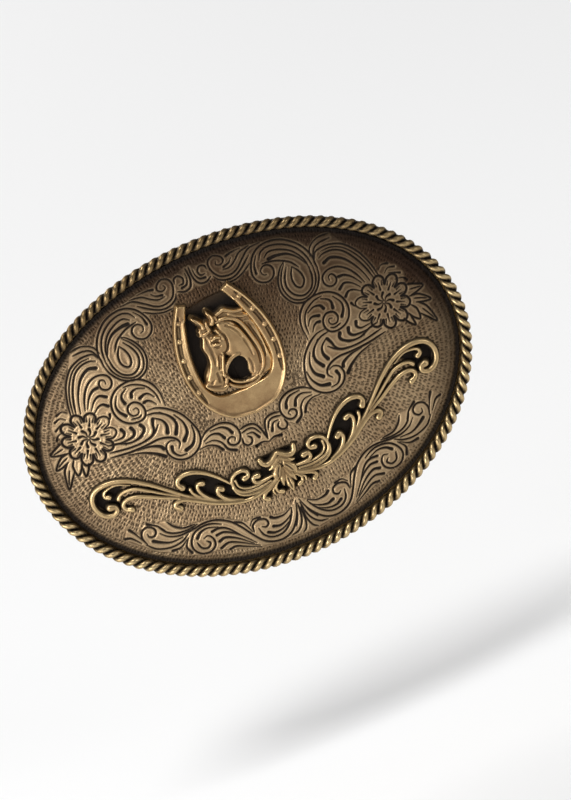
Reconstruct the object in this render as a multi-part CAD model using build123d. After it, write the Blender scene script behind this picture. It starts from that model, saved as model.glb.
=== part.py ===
from build123d import *
import math
import os

# Western oval belt buckle, upright as it is worn. Millimetres, +Z up, +X along the buckle's length,
# the decorated front towards -Y and the wearer towards +Y. The origin is the centre of the plate's
# back face. The plate is bent about a vertical axis to follow the waist, so "height" below means the
# distance out of that back face, measured square to it.

# --- plate and rope edge -------------------------------------------------------------------------
LENGTH = 104.0                    # over the rope edge
HEIGHT = 77.4                     # over the rope edge
BEND = 238.0                      # radius of the back face about its vertical axis
BACK_THICK = 1.0
FRONT_THICK = 1.4
FIELD = BACK_THICK + FRONT_THICK  # height of the engraved field
ROPE = 2.7                        # diameter of the rope edge
FIT_GAP = 0.05                    # solder line between the rope and the front plate
BACK_INSET = 0.8                  # back plate stops short of the rope's outside
WINDOW_DEPTH = 0.7                # blackened recesses behind the overlays
DEEP = 40.0                       # a tool length greater than the buckle is thick
OVERCUT = 1.0                     # how far a cutting tool runs past the face it opens

# --- overlays on the front -----------------------------------------------------------------------
SHOE_X = 0.4                      # centre line of the horseshoe
SHOE_THICK = 1.6
FULLER_DEPTH = 0.6
FULLER_WIDTH = 1.1
NAIL_R = 0.5
NAIL_SUNK = 0.1                   # nail heads stand just below the shoe's face
NAIL_ROOT = 0.2                   # nail shanks run into the shoe under the fuller
HEAD_THICK = 2.6
SCROLL_THICK = 1.3
LILY_THICK = 1.8
SCROLL_BASE = FIELD - WINDOW_DEPTH

# --- hinge and bail for the fixed end of a 38 mm belt ----------------------------------------------
BELT_WIDTH = 38.0
BAIL_WIRE_R = 1.5
BAIL_GAP = BELT_WIDTH + 2.0       # clear height inside the bail
PIVOT_X = -20.0
PIVOT_Y = 5.8
BAIL_REACH = 18.0                 # pivot to the outer bar
BAIL_CORNER = 3.6
TUBE_R = 2.7
TUBE_LENGTH = 28.0
TUBE_CLEARANCE = 0.06
STUB_GAP = 8.0                    # between the wire's two ends inside the tube
HINGE_PAD = (9.0, 39.0)           # length and height
HINGE_PAD_TOP = 2.2
HINGE_PAD_CORNER = 2.0
SADDLE_WIDTH = 6.4
SADDLE_TOP = 4.9
HINGE_RIVET_Z = 17.0

# --- hook for the punched end of the belt ----------------------------------------------------------
HOOK_X = 27.0
HOOK_PAD = (10.0, 17.0)
HOOK_PAD_TOP = 3.6
HOOK_R = 2.0
HOOK_TILT = 20.0                  # leans towards the buckle's end
HOOK_LENGTH = 8.5
HOOK_COLLAR = (2.9, 1.8)          # radius, and length above the pad along the peg
HOOK_ROOT = 1.0                   # collar runs this far into the pad before it is cut off square
HOOK_RIVET_Z = 5.9
RIVET_R = 0.9
RIVET_HEAD_R = 1.5
RIVET_HEAD = 0.75
RIVET_FIT = 0.02
RIVET_CLEAR = 8.0                 # a box wider than any rivet head


def outline_prism(outline):
    """A flat outline, drawn with x along the buckle and y up, run right through the plate."""
    return extrude(Plane.XZ * outline, amount=DEEP / 2, both=True)


def bent(height):
    """Everything behind the surface that stands at one height over the bent back face."""
    return Pos(0, BEND, 0) * Cylinder(BEND + height, 2 * HEIGHT)


def layer(outline, low, high):
    """The solid between two heights over the back face, cut to a flat outline."""
    return (outline_prism(outline) & bent(high)) - bent(low)


def oval(inset):
    return Ellipse(LENGTH / 2 - inset, HEIGHT / 2 - inset)


def closed_spline(points):
    return make_face(Spline(*points, periodic=True))


def ribbon(points, width):
    """A strip of even width along a line of points, mitred at each and cut square at its ends."""
    edges = {1: [], -1: []}
    for i, (x, y) in enumerate(points):
        before = points[max(i - 1, 0)]
        after = points[min(i + 1, len(points) - 1)]
        run = math.atan2(after[1] - before[1], after[0] - before[0])
        for side, edge in edges.items():
            edge.append((x - side * width / 2 * math.sin(run), y + side * width / 2 * math.cos(run)))
    return make_face(Polyline(*edges[1], *edges[-1][::-1], close=True))


# --- horseshoe -------------------------------------------------------------------------------------
# One arm from toe to heel, as distances from the shoe's centre line: the outer edge, the inner edge,
# and the fuller, the nail groove between them.
SHOE_OUTER = [(0, -3.0), (5.4, -1.7), (9.3, 2.6), (11.1, 9.5), (10.4, 16.6), (8.3, 22.6), (6.4, 26.4)]
SHOE_HEEL = [(4.4, 25.4)]
SHOE_INNER = [(6.2, 21.6), (7.7, 15.6), (8.1, 9.8), (6.6, 4.8), (3.6, 2.9), (0, 2.4)]
SHOE_FULLER = [(8.4, 3.8), (9.5, 9.5), (9.1, 15.6), (7.3, 21.4), (6.0, 24.2)]
NAILS = [(9.1, 5.6), (9.6, 10.0), (9.4, 14.4), (8.4, 18.8), (6.8, 22.8)]


def shoe_points(points, side):
    return [(SHOE_X + side * x, z) for x, z in points]


def shoe_half(side):
    outer = Spline(*shoe_points(SHOE_OUTER, side))
    heel = Polyline(*shoe_points(SHOE_OUTER[-1:] + SHOE_HEEL + SHOE_INNER[:1], side))
    inner = Spline(*shoe_points(SHOE_INNER, side))
    toe = Line((SHOE_X, SHOE_INNER[-1][1]), (SHOE_X, SHOE_OUTER[0][1]))
    return make_face([outer, heel, inner, toe])


def shoe_window():
    """The opening framed by the shoe, from its toe up to the level of its heels."""
    right = shoe_points(SHOE_INNER[::-1] + SHOE_HEEL, 1)
    left = shoe_points(SHOE_INNER[:-1][::-1] + SHOE_HEEL, -1)
    return closed_spline(right + left[::-1])


def make_horseshoe():
    face = FIELD + SHOE_THICK
    blank = layer(shoe_half(1) + shoe_half(-1), FIELD, face)
    floor = face - FULLER_DEPTH
    for side in (-1, 1):
        groove = ribbon(shoe_points(SHOE_FULLER, side), FULLER_WIDTH)
        blank = blank - layer(groove, floor, face + OVERCUT)
        for x, z in shoe_points(NAILS, side):
            blank = blank + layer(Pos(x, z) * Circle(NAIL_R), floor - NAIL_ROOT, face - NAIL_SUNK)
    return blank


# --- horse's head ----------------------------------------------------------------------------------
# Round from the poll down the face to the muzzle, back along the jaw, and up the crest of the neck.
HEAD_OUTLINE = [
    (-3.0, 20.6), (-3.9, 18.0), (-4.6, 14.2), (-5.0, 10.6), (-7.2, 7.6), (-7.3, 5.8), (-4.6, 4.3),
    (-2.2, 4.7), (0.4, 3.4), (3.6, 3.6), (6.4, 6.0), (7.2, 10.6), (6.9, 15.4), (5.2, 19.2), (1.6, 20.9),
]
JAW_OPENING = [(-1.8, 7.2), (-0.2, 9.2), (2.0, 10.0), (2.9, 8.0), (1.8, 4.9), (-0.4, 5.3)]
EARS = [[(-4.0, 22.4), (-2.0, 19.4), (-3.4, 19.0)], [(-0.5, 22.5), (0.9, 20.0), (-1.2, 19.8)]]


def make_horse_head():
    outline = closed_spline(HEAD_OUTLINE) - closed_spline(JAW_OPENING)
    for ear in EARS:
        outline = outline + make_face(Polyline(*ear, close=True))
    head = layer(outline, SCROLL_BASE, FIELD + HEAD_THICK)
    return head - layer(shoe_half(1) + shoe_half(-1), 0, FIELD + HEAD_THICK + OVERCUT)


# --- scroll spray ----------------------------------------------------------------------------------
# The viewer's left spray, stroke by stroke: strip width, then points from the tip to the root.
SPRAY = {
    "main_scroll": (1.7, [(-37.4, -8.0), (-36.6, -10.6), (-39.4, -11.6), (-42.0, -8.6), (-40.0, -5.0),
                          (-35.0, -4.6), (-28.0, -9.0), (-21.0, -15.4), (-13.0, -19.8), (-3.4, -20.4)]),
    "second_leaf": (1.5, [(-34.2, -12.0), (-35.2, -9.4), (-32.0, -8.4), (-26.0, -11.2), (-20.0, -16.2)]),
    "upper_loop": (1.5, [(-21.8, -12.2), (-22.6, -10.4), (-20.0, -9.4), (-16.0, -11.0), (-12.0, -14.8),
                         (-7.0, -18.8), (-2.4, -18.8)]),
    "lower_leaflet": (1.4, [(-24.6, -16.8), (-25.0, -15.2), (-22.6, -14.8), (-18.0, -17.4)]),
    "rising_curl": (1.3, [(-19.4, -13.0), (-17.8, -14.0), (-17.0, -16.4), (-13.0, -19.2)]),
    "middle_curl": (1.3, [(-13.4, -17.6), (-15.4, -17.0), (-14.4, -15.4), (-12.2, -16.4), (-9.0, -19.4)]),
    "upper_curl": (1.3, [(-7.6, -15.2), (-9.0, -14.0), (-11.4, -15.0), (-9.4, -18.2)]),
    "inner_curl": (1.3, [(-5.0, -17.2), (-6.6, -16.6), (-5.8, -18.6), (-2.6, -19.4)]),
}
LILY_X = 0.2
LILY_HALF = [(0, -13.8), (2.6, -13.6), (3.6, -14.6), (1.5, -15.6), (2.4, -17.2), (1.9, -18.9), (3.6, -20.4),
             (1.8, -21.2), (0, -23.2)]


def lily_outline():
    right = [(LILY_X + x, z) for x, z in LILY_HALF]
    left = [(LILY_X - x, z) for x, z in LILY_HALF]
    return make_face(Polyline(*right, *left[1:-1][::-1], close=True))


def spray_outline(side):
    outline = None
    for width, points in SPRAY.values():
        strip = ribbon([(side * abs(x), z) for x, z in points], width)
        outline = strip if outline is None else outline + strip
    return outline - lily_outline()


def spray_window():
    """The blackened recess that shows between the strokes of both sprays."""
    right = [(40.6, -8.0), (37.4, -5.4), (27.0, -11.0), (19.4, -10.4), (12.6, -15.4), (4.0, -14.0)]
    lower = [(4.0, -20.8), (12.4, -19.8), (24.0, -14.4), (34.6, -10.8), (37.8, -11.4)]
    upper = [(-x, z) for x, z in right[::-1]]
    return make_face(Polyline(*right, *upper, *[(-x, z) for x, z in lower[::-1]], *lower, close=True))


def make_scroll(side):
    return layer(spray_outline(side), FIELD, FIELD + SCROLL_THICK)


def make_lily():
    return layer(lily_outline(), FIELD, FIELD + LILY_THICK)


# --- plates and edge -------------------------------------------------------------------------------
def rivet_places():
    hinge = [(PIVOT_X, side * HINGE_RIVET_Z) for side in (-1, 1)]
    hook = [(HOOK_X, side * HOOK_RIVET_Z) for side in (-1, 1)]
    return hinge, hook


def hole_along_y(x, z, radius):
    return Pos(x, 0, z) * Rot(90, 0, 0) * Cylinder(radius, DEEP)


def make_back_plate():
    hinge, hook = rivet_places()
    plate = layer(oval(BACK_INSET), 0, BACK_THICK)
    for x, z in hinge + hook + [(HOOK_X, 0)]:
        plate = plate - hole_along_y(x, z, RIVET_R + RIVET_FIT)
    return plate


def make_front_plate():
    plate = layer(oval(ROPE + FIT_GAP), BACK_THICK, FIELD)
    plate = plate - layer(shoe_window(), SCROLL_BASE, FIELD + OVERCUT)
    return plate - layer(spray_window(), SCROLL_BASE, FIELD + OVERCUT)


def make_rope_edge():
    return layer(oval(0) - oval(ROPE), BACK_THICK, BACK_THICK + ROPE)


# --- hinge and bail --------------------------------------------------------------------------------
def rivet(x, z, seat_y):
    """Domed head on a pad, and a shank that ends flush with the back plate's front."""
    top = seat_y + RIVET_HEAD
    dome_r = (RIVET_HEAD_R ** 2 + RIVET_HEAD ** 2) / (2 * RIVET_HEAD)
    dome = Pos(x, top - dome_r, z) * Sphere(dome_r)
    dome = dome & Pos(x, top, z) * Box(RIVET_CLEAR, 2 * RIVET_HEAD, RIVET_CLEAR)
    shank = hole_along_y(x, z, RIVET_R) & Pos(x, seat_y - DEEP / 2, z) * Box(RIVET_CLEAR, DEEP, RIVET_CLEAR)
    return dome + (shank & bent(BACK_THICK))


def make_hinge_pad():
    length, height = HINGE_PAD
    plate = Pos(PIVOT_X, HINGE_PAD_TOP - DEEP / 2, 0) * Box(length, DEEP, height)
    plate = fillet(plate.edges().filter_by(Axis.Y), HINGE_PAD_CORNER)
    saddle = Pos(PIVOT_X, SADDLE_TOP - DEEP / 2, 0) * Box(SADDLE_WIDTH, DEEP, TUBE_LENGTH)
    pad = (plate + saddle) & bent(0)
    pad = pad - Pos(PIVOT_X, PIVOT_Y, 0) * Cylinder(TUBE_R, HEIGHT)
    for x, z in rivet_places()[0]:
        pad = pad - hole_along_y(x, z, RIVET_R + RIVET_FIT)
    return pad


def make_hinge_tube():
    bore = BAIL_WIRE_R + TUBE_CLEARANCE
    tube = Cylinder(TUBE_R, TUBE_LENGTH) - Cylinder(bore, TUBE_LENGTH)
    return Pos(PIVOT_X, PIVOT_Y, 0) * tube


def make_bail():
    """One bent wire: an end in each mouth of the tube, two arms, and the bar the belt is sewn round."""
    arm_z = BAIL_GAP / 2 + BAIL_WIRE_R
    bar_x = PIVOT_X - BAIL_REACH
    route = FilletPolyline(
        (PIVOT_X, STUB_GAP / 2),
        (PIVOT_X, arm_z),
        (bar_x, arm_z),
        (bar_x, -arm_z),
        (PIVOT_X, -arm_z),
        (PIVOT_X, -STUB_GAP / 2),
        radius=BAIL_CORNER,
    )
    path = Plane((0, PIVOT_Y, 0), x_dir=(1, 0, 0), z_dir=(0, -1, 0)) * route
    section = Plane(origin=(PIVOT_X, PIVOT_Y, STUB_GAP / 2), z_dir=(0, 0, 1)) * Circle(BAIL_WIRE_R)
    return sweep(section, path=path)


# --- hook ------------------------------------------------------------------------------------------
def make_hook_pad():
    width, height = HOOK_PAD
    outline = Rot(0, 0, 90) * SlotOverall(height, width)
    pad = extrude(Plane.XZ * (Pos(HOOK_X, 0) * outline), amount=-HOOK_PAD_TOP) & bent(0)
    for x, z in rivet_places()[1] + [(HOOK_X, 0)]:
        pad = pad - hole_along_y(x, z, RIVET_R + RIVET_FIT)
    return pad


def make_hook_post():
    """A round-ended peg and its collar lean out together, over a spigot through the pad and back plate."""
    collar_r, collar_length = HOOK_COLLAR
    lean = Pos(HOOK_X, HOOK_PAD_TOP, 0) * Rot(0, 0, -HOOK_TILT) * Rot(-90, 0, 0)
    collar = Pos(0, 0, collar_length / 2 - HOOK_ROOT) * Cylinder(collar_r, collar_length + 2 * HOOK_ROOT)
    straight = HOOK_LENGTH - HOOK_R
    peg = Pos(0, 0, straight / 2) * Cylinder(HOOK_R, straight) + Pos(0, 0, straight) * Sphere(HOOK_R)
    above_pad = Pos(HOOK_X, HOOK_PAD_TOP + DEEP / 2, 0) * Box(DEEP, DEEP, DEEP)
    below_pad = Pos(HOOK_X, HOOK_PAD_TOP - DEEP / 2, 0) * Box(RIVET_CLEAR, DEEP, RIVET_CLEAR)
    spigot = hole_along_y(HOOK_X, 0, RIVET_R) & below_pad
    return (lean * (collar + peg) & above_pad) + (spigot & bent(BACK_THICK))


def group(solids):
    return Compound(children=[s.solid() if isinstance(s, Part) else s for s in solids])


def main():
    hinge, hook = rivet_places()
    nodes = {
        "back_plate": make_back_plate(),
        "front_plate": make_front_plate(),
        "rope_edge": make_rope_edge(),
        "horseshoe": make_horseshoe(),
        "horse_head": make_horse_head(),
        "scroll_left": make_scroll(-1),
        "scroll_right": make_scroll(1),
        "scroll_lily": make_lily(),
        "hinge_pad": make_hinge_pad(),
        "hinge_tube": make_hinge_tube(),
        "hinge_rivets": group([rivet(x, z, HINGE_PAD_TOP) for x, z in hinge]),
        "bail": make_bail(),
        "hook_pad": make_hook_pad(),
        "hook_rivets": group([rivet(x, z, HOOK_PAD_TOP) for x, z in hook]),
        "hook_post": make_hook_post(),
    }
    os.makedirs("parts", exist_ok=True)
    for name, shape in nodes.items():
        export_step(shape, f"parts/{name}.step")


main()
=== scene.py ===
import bmesh
import bpy
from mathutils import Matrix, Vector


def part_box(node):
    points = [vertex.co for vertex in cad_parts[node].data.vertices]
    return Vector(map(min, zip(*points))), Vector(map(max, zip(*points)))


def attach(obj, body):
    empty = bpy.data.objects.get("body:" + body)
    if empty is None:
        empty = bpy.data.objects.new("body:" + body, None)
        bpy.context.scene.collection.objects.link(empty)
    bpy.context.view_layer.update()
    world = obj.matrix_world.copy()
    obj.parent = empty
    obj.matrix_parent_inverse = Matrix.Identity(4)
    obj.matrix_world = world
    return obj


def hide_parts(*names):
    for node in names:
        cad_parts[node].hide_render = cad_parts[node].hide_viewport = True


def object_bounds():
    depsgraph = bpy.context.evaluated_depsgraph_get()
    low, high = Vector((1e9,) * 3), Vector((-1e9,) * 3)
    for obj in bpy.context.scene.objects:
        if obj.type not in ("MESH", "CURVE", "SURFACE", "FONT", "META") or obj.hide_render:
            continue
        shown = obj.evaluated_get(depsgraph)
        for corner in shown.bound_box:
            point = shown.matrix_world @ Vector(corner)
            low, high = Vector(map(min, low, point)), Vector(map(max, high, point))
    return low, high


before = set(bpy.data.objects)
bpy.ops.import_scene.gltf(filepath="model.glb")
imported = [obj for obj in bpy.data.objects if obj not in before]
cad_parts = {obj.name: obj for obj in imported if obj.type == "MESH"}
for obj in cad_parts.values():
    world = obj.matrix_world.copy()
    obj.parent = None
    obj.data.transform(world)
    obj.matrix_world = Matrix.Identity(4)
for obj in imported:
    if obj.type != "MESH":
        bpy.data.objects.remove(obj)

import copy
import math
import numpy as np
import random
from mathutils import Matrix, Vector

CAD_BOX = [[float(c) for c in corner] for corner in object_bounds()]
MM = 0.001
SEED = 11

# The front is worked in the plate's own millimetres: u along the length, v up, and h, the height
# over the bent back face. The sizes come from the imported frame.
ROPE_LOW, ROPE_HIGH = (Vector(corner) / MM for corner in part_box("rope_edge"))
FRONT_HIGH = Vector(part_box("front_plate")[1]) / MM
HALF_U = ROPE_HIGH.x
HALF_V = ROPE_HIGH.z
FIELD_U = FRONT_HIGH.x
FIELD_V = FRONT_HIGH.z
FIELD = -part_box("front_plate")[0][1] / MM        # height of the engraved field
ROPE_TOP = -ROPE_LOW.y                           # the rope stands this high at the middle of the rim
BACK_THICK = 1.0
ROPE = ROPE_TOP - BACK_THICK                     # rope diameter
BEND = 238.0                                     # radius of the back face about its vertical axis
STEP = 0.15                                      # grid of the engraved sheet
FINE = 0.12                                      # grid of the cast overlays
BATCH = 24                                       # points of a line that are measured from at once
BARE_LINE = 0.001                                # half width of a line that is only measured from
ROPE_TURNS = 59                                  # turns of each wire in one round of the rim
GROUND_DEPTH = 0.17                              # the matted ground, below the smooth ornament
CUT_DEPTH = 0.36                                 # engraved cuts
PECK_DEPTH = 0.26                                # punch marks in the ground
RECESS_DEPTH = 0.68                              # blackened recesses behind the overlays
COVE_DEPTH = 0.62                                # the hollow that runs beside the rope


def on_plate(u, v, h):
    """Row-frame metres of a point at height h over the bent back face. Takes numbers or arrays."""
    y = BEND - np.sqrt((BEND + h) ** 2 - np.square(u))
    return u * MM, y * MM, v * MM


# =====================================================================================================
# Small tools for drawing: smooth lines, strokes and masks on a grid
# =====================================================================================================
def smooth_line(points, spacing=0.12):
    """Points along a Catmull-Rom curve through a few chosen ones, with how far along each one lies."""
    pts = np.array(points, float)
    ends = np.vstack([2 * pts[0] - pts[1], pts, 2 * pts[-1] - pts[-2]])
    out = []
    for i in range(len(pts) - 1):
        p0, p1, p2, p3 = ends[i:i + 4]
        n = max(2, int(np.linalg.norm(p2 - p1) / spacing))
        t = np.linspace(0, 1, n, endpoint=False)[:, None]
        bend = 2 * p0 - 5 * p1 + 4 * p2 - p3
        out.append(0.5 * (2 * p1 + (p2 - p0) * t + bend * t ** 2 + (3 * p1 - p0 - 3 * p2 + p3) * t ** 3))
    line = np.vstack(out + [pts[-1:]])
    run = np.concatenate([[0], np.cumsum(np.linalg.norm(np.diff(line, axis=0), axis=1))])
    return line, run / run[-1]


class Grid:
    """A flat grid of (u, v) points that strokes are stamped on."""

    def __init__(self, low, high, step):
        self.step = step
        self.us = np.arange(low[0], high[0] + step / 2, step)
        self.vs = np.arange(low[1], high[1] + step / 2, step)
        self.u, self.v = np.meshgrid(self.us, self.vs, indexing="ij")

    def full(self, value):
        return np.full(self.u.shape, float(value))

    def window(self, line, reach):
        low = (line.min(axis=0) - reach - (self.us[0], self.vs[0])) / self.step
        high = (line.max(axis=0) + reach - (self.us[0], self.vs[0])) / self.step
        i0, j0 = np.maximum(low.astype(int), 0)
        i1, j1 = np.maximum(high.astype(int) + 2, 0)
        return slice(i0, i1), slice(j0, j1)

    def stroke(self, field, line, half_widths, reach=0.8):
        """Lowers field to the signed distance from a stroke's edge, negative inside."""
        win = self.window(line, half_widths.max() + reach)
        u, v = self.u[win], self.v[win]
        if u.size == 0:
            return
        best = field[win]
        for start in range(0, len(line), BATCH):
            part = line[start:start + BATCH]
            du = u[..., None] - part[:, 0]
            dv = v[..., None] - part[:, 1]
            away = np.sqrt(du * du + dv * dv) - half_widths[start:start + BATCH]
            best = np.minimum(best, away.min(axis=-1))
        field[win] = best

    def measure(self, field, line, reach):
        """Lowers field to the distance from a bare line."""
        self.stroke(field, line, np.full(len(line), BARE_LINE), reach=reach)

    def columns(self, first, last):
        """The part of the grid from one column up to another."""
        part = copy.copy(self)
        part.us, part.u, part.v = self.us[first:last], self.u[first:last], self.v[first:last]
        return part

    def inside(self, polygon):
        """True where the grid lies inside a closed outline."""
        pts = np.array(polygon, float)
        hit = np.zeros(self.u.shape, bool)
        for (u0, v0), (u1, v1) in zip(pts, np.roll(pts, -1, axis=0)):
            if v0 == v1:
                continue
            crosses = (self.v > min(v0, v1)) & (self.v <= max(v0, v1))
            hit ^= crosses & (self.u < u0 + (self.v - v0) * (u1 - u0) / (v1 - v0))
        return hit


def ease(x, low, high):
    """0 below low, 1 above high, smooth between; low may be the larger."""
    t = np.clip((x - low) / (high - low), 0, 1)
    return t * t * (3 - 2 * t)


def blur(a, times):
    """Softens a grid by a few passes of a three-cell average each way."""
    for _ in range(times):
        for axis in (0, 1):
            a = (np.roll(a, 1, axis) + 2 * a + np.roll(a, -1, axis)) / 4
    return a


def mirrored(points):
    return [(-u, v) for u, v in points]


def both_halves(outlines):
    return [side for outline in outlines for side in (outline, mirrored(outline))]


def inside_any(grid, outlines):
    """True where the grid lies inside any of the outlines, each closed with a smooth line."""
    hit = np.zeros(grid.u.shape, bool)
    for outline in outlines:
        hit |= grid.inside(smooth_line(outline + outline[:1])[0])
    return hit


# =====================================================================================================
# The engraving: every cut of the left half; the right half is its mirror image
# =====================================================================================================
def cut(width, *points):
    """An even cut that thins out at both ends."""
    return "cut", width, points


def comma(width, *points):
    """A shading cut that starts as a hair line and ends broad and round."""
    return "comma", width, points


FLOWER = (-35.9, 6.7)

LEAVES_BY_FLOWER = [
    cut(0.36, (-41.9, 7.9), (-43.5, 7.3), (-45.3, 6.1), (-43.5, 5.4), (-41.6, 5.2)),
    cut(0.36, (-41.5, 5.2), (-43.6, 4.7), (-45.6, 2.5), (-44, 2.6), (-42.3, 3.3)),
    cut(0.36, (-42.6, 3.2), (-44.2, 1.2), (-44.9, -2.7), (-43.2, -0.8), (-42, 0.8)),
    cut(0.36, (-41, 3.4), (-41.9, 1.8), (-41.7, -0.5), (-40.4, 0.6), (-39.6, 2.2)),
    cut(0.36, (-40, 1.2), (-40.2, -1.3), (-39, -0.1), (-38.4, 1.3)),
    cut(0.24, (-42.2, 6.6), (-43.6, 6.3), (-44.6, 6.1)),
    cut(0.24, (-42.2, 4.3), (-43.6, 3.7), (-44.8, 3)),
    cut(0.24, (-43, 1.4), (-43.9, -0.4), (-44.5, -1.8)),
    comma(0.4, (-39.5, 12.2), (-40.6, 11.7), (-41.8, 11)),
    comma(0.4, (-38.7, 12.6), (-39.8, 13.3), (-41.2, 12.9)),
    comma(0.4, (-37.8, 13.9), (-38.8, 14.6), (-40.2, 14.2)),
    comma(0.4, (-40.2, 10.2), (-41.8, 9.8), (-42.6, 8.8)),
]

PLUME = [
    cut(0.34, (-37.4, 12.2), (-36.7, 16), (-35.3, 19.8), (-33, 22.8), (-30.4, 24.1), (-28.4, 24.3),
        (-26.9, 24), (-26.2, 22.8)),
    cut(0.3, (-31, 25.5), (-28.6, 25.5), (-26.9, 24.8), (-25.9, 22.6), (-25.8, 20.4)),
    cut(0.26, (-31.2, 26.4), (-28.6, 26.7), (-26.3, 25.6), (-25.4, 23.6)),
    cut(0.34, (-36.1, 12.8), (-35.4, 15.6), (-34.3, 18.4), (-32.6, 21.2), (-30.6, 22.6), (-28.4, 22.9),
        (-27, 22.4)),
    comma(0.72, (-35.1, 12.6), (-34.4, 15.2), (-33.2, 17.8), (-31.6, 20), (-29.4, 21.3), (-27.6, 20.9)),
    cut(0.34, (-33.9, 12.8), (-33, 15.2), (-31.6, 17.4), (-29.8, 18.8), (-27.8, 19.1), (-26.2, 18.4),
        (-25.7, 17), (-26.2, 15.8), (-27.3, 15.3), (-28.4, 15.9), (-28.6, 17), (-28, 17.9),
        (-27.2, 17.6), (-27.1, 16.7)),
    cut(0.24, (-36.7, 12.8), (-36, 16.2), (-34.8, 19.2), (-32.8, 22), (-30.4, 23.4), (-28, 23.6)),
    comma(0.62, (-33.2, 13), (-32, 15), (-30.6, 16.3), (-29.2, 16.6)),
    comma(0.62, (-32.6, 12.3), (-31.2, 14), (-29.7, 14.7), (-28.3, 13.9)),
    comma(0.62, (-32.3, 11.4), (-31, 12.4), (-29.8, 12.6), (-28.8, 11.8)),
    comma(0.5, (-30.3, 8.4), (-29.6, 9.1), (-29.3, 9.9)),
]

WHEEL = [
    cut(0.36, (-17.3, 6.8), (-17.2, 10), (-18, 12.6), (-20, 14.6), (-22.8, 15.2), (-25.6, 14.6),
        (-27.6, 12.8), (-28.4, 10.2), (-27.8, 7.8), (-26.2, 6.2), (-24, 5.7), (-22.4, 6.3),
        (-21.8, 7.8), (-22.2, 9.4), (-23.4, 10.3), (-24.9, 9.9), (-25.4, 8.6), (-24.8, 7.5),
        (-23.7, 7.4), (-23.1, 8.1), (-23.4, 8.9), (-24.1, 8.8)),
    comma(0.66, (-26.2, 13.2), (-27.3, 11.2), (-27.2, 9.6), (-26.2, 8.1)),
    comma(0.7, (-23.6, 13.9), (-25, 13), (-25.4, 12), (-25.2, 10.8)),
    comma(0.66, (-19.8, 12.3), (-21.4, 12.9), (-22.8, 12.6), (-23.3, 11.6)),
    comma(0.66, (-18.7, 9.6), (-19.6, 10.8), (-20.6, 11), (-21.7, 10.6)),
    comma(0.6, (-19, 7.9), (-19.8, 9), (-20.6, 9.4), (-21.3, 9.3)),
    cut(0.26, (-18, 7.8), (-18.2, 10.2), (-19.4, 12.6), (-21.8, 14.1), (-24, 14.4)),
    cut(0.26, (-25.4, 6.9), (-23.8, 6.6), (-22.9, 7)),
]

PAISLEY = [
    cut(0.34, (-25.9, 21), (-25.3, 18.5), (-23.8, 16.3), (-21.8, 15.1), (-19.8, 14.9), (-17.8, 15.9),
        (-16.6, 18), (-16.4, 20.2), (-17.2, 22.5), (-18.6, 24.4), (-19.8, 25.2)),
    cut(0.28, (-25.1, 21.5), (-24.7, 18.9), (-23.5, 16.9), (-21.6, 15.7), (-19.8, 15.6), (-18.1, 16.6),
        (-17.2, 18.6), (-17.2, 20.8), (-18.2, 23), (-19.6, 24.8)),
    cut(0.34, (-24.2, 22), (-24, 19.4), (-22.9, 17.2), (-20.8, 16.3), (-18.9, 17.3), (-18, 19.4),
        (-18.4, 21.6), (-19.7, 23.8)),
    cut(0.34, (-20.9, 23.4), (-22, 21.4), (-22.1, 19.4), (-21, 18.2), (-20, 18.8), (-19.7, 20.4),
        (-20.1, 22), (-20.9, 23.4)),
    cut(0.34, (-25.9, 20.6), (-25.7, 24), (-24.4, 27), (-22, 29.5), (-19.4, 30.7), (-16.6, 30.8),
        (-14.4, 29.7), (-12.9, 27.6), (-12.3, 25.2), (-13.1, 23.4), (-14.8, 22.6), (-16.4, 23.3),
        (-17, 24.8), (-16.4, 26), (-15.2, 26.3), (-14.3, 25.5), (-14.5, 24.5), (-15.2, 24.2)),
    cut(0.3, (-25.1, 21), (-24.7, 24), (-23.3, 26.9), (-20.8, 29), (-18, 29.9), (-16, 29.4),
        (-15, 28)),
    cut(0.3, (-24.3, 21.4), (-23.8, 24), (-22.2, 26.6), (-19.8, 28.2), (-17.6, 28.7), (-16.2, 27.9)),
    comma(0.8, (-24, 22.6), (-22.8, 24.8), (-21, 26.5), (-18.6, 27.2), (-17, 27.2)),
    cut(0.34, (-22.2, 22.6), (-20.8, 24.6), (-18.6, 26), (-16.8, 26.6), (-15.2, 26.9)),
    comma(0.5, (-14.8, 29.2), (-13.6, 27.4), (-13.2, 25.4)),
]

TOP_BAND = [
    cut(0.32, (-16.8, 31.5), (-14, 31.4), (-11.8, 29.9), (-9.8, 28.3), (-8, 27.8), (-6, 28.3),
        (-4.9, 29.6), (-4.4, 31.4), (-4.9, 32.8), (-6.3, 33.3), (-7.6, 32.5), (-7.9, 31.4),
        (-7, 30.8), (-6.1, 31.2), (-6.3, 31.9)),
    cut(0.28, (-14.4, 32), (-11.8, 31.5), (-10.2, 30.3), (-8.6, 29.4), (-7, 29.5)),
    cut(0.32, (-13.4, 30), (-11.2, 28.3), (-9, 27.1), (-7, 27), (-5.3, 27.8), (-4.5, 29)),
    cut(0.28, (-12.8, 28.2), (-10.8, 27), (-8.6, 26.3), (-6.6, 26.3)),
    comma(0.5, (-12.4, 32.3), (-10.2, 32.3), (-8.8, 32)),
    comma(0.5, (-9.6, 31.2), (-8.8, 30.4), (-7.4, 30)),
    cut(0.32, (-3.9, 31.2), (-3.6, 32.2), (-2.6, 32.5), (-1.8, 31.6), (-2.1, 30.5), (-3.1, 30.4)),
    cut(0.34, (-4, 29.3), (-2.6, 28.6), (-1.1, 29), (-0.4, 30.4), (-0.3, 32), (-0.4, 33.4)),
    comma(0.5, (-0.9, 32.4), (-1, 31), (-1.6, 29.9), (-2.8, 29.6)),
]

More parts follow.
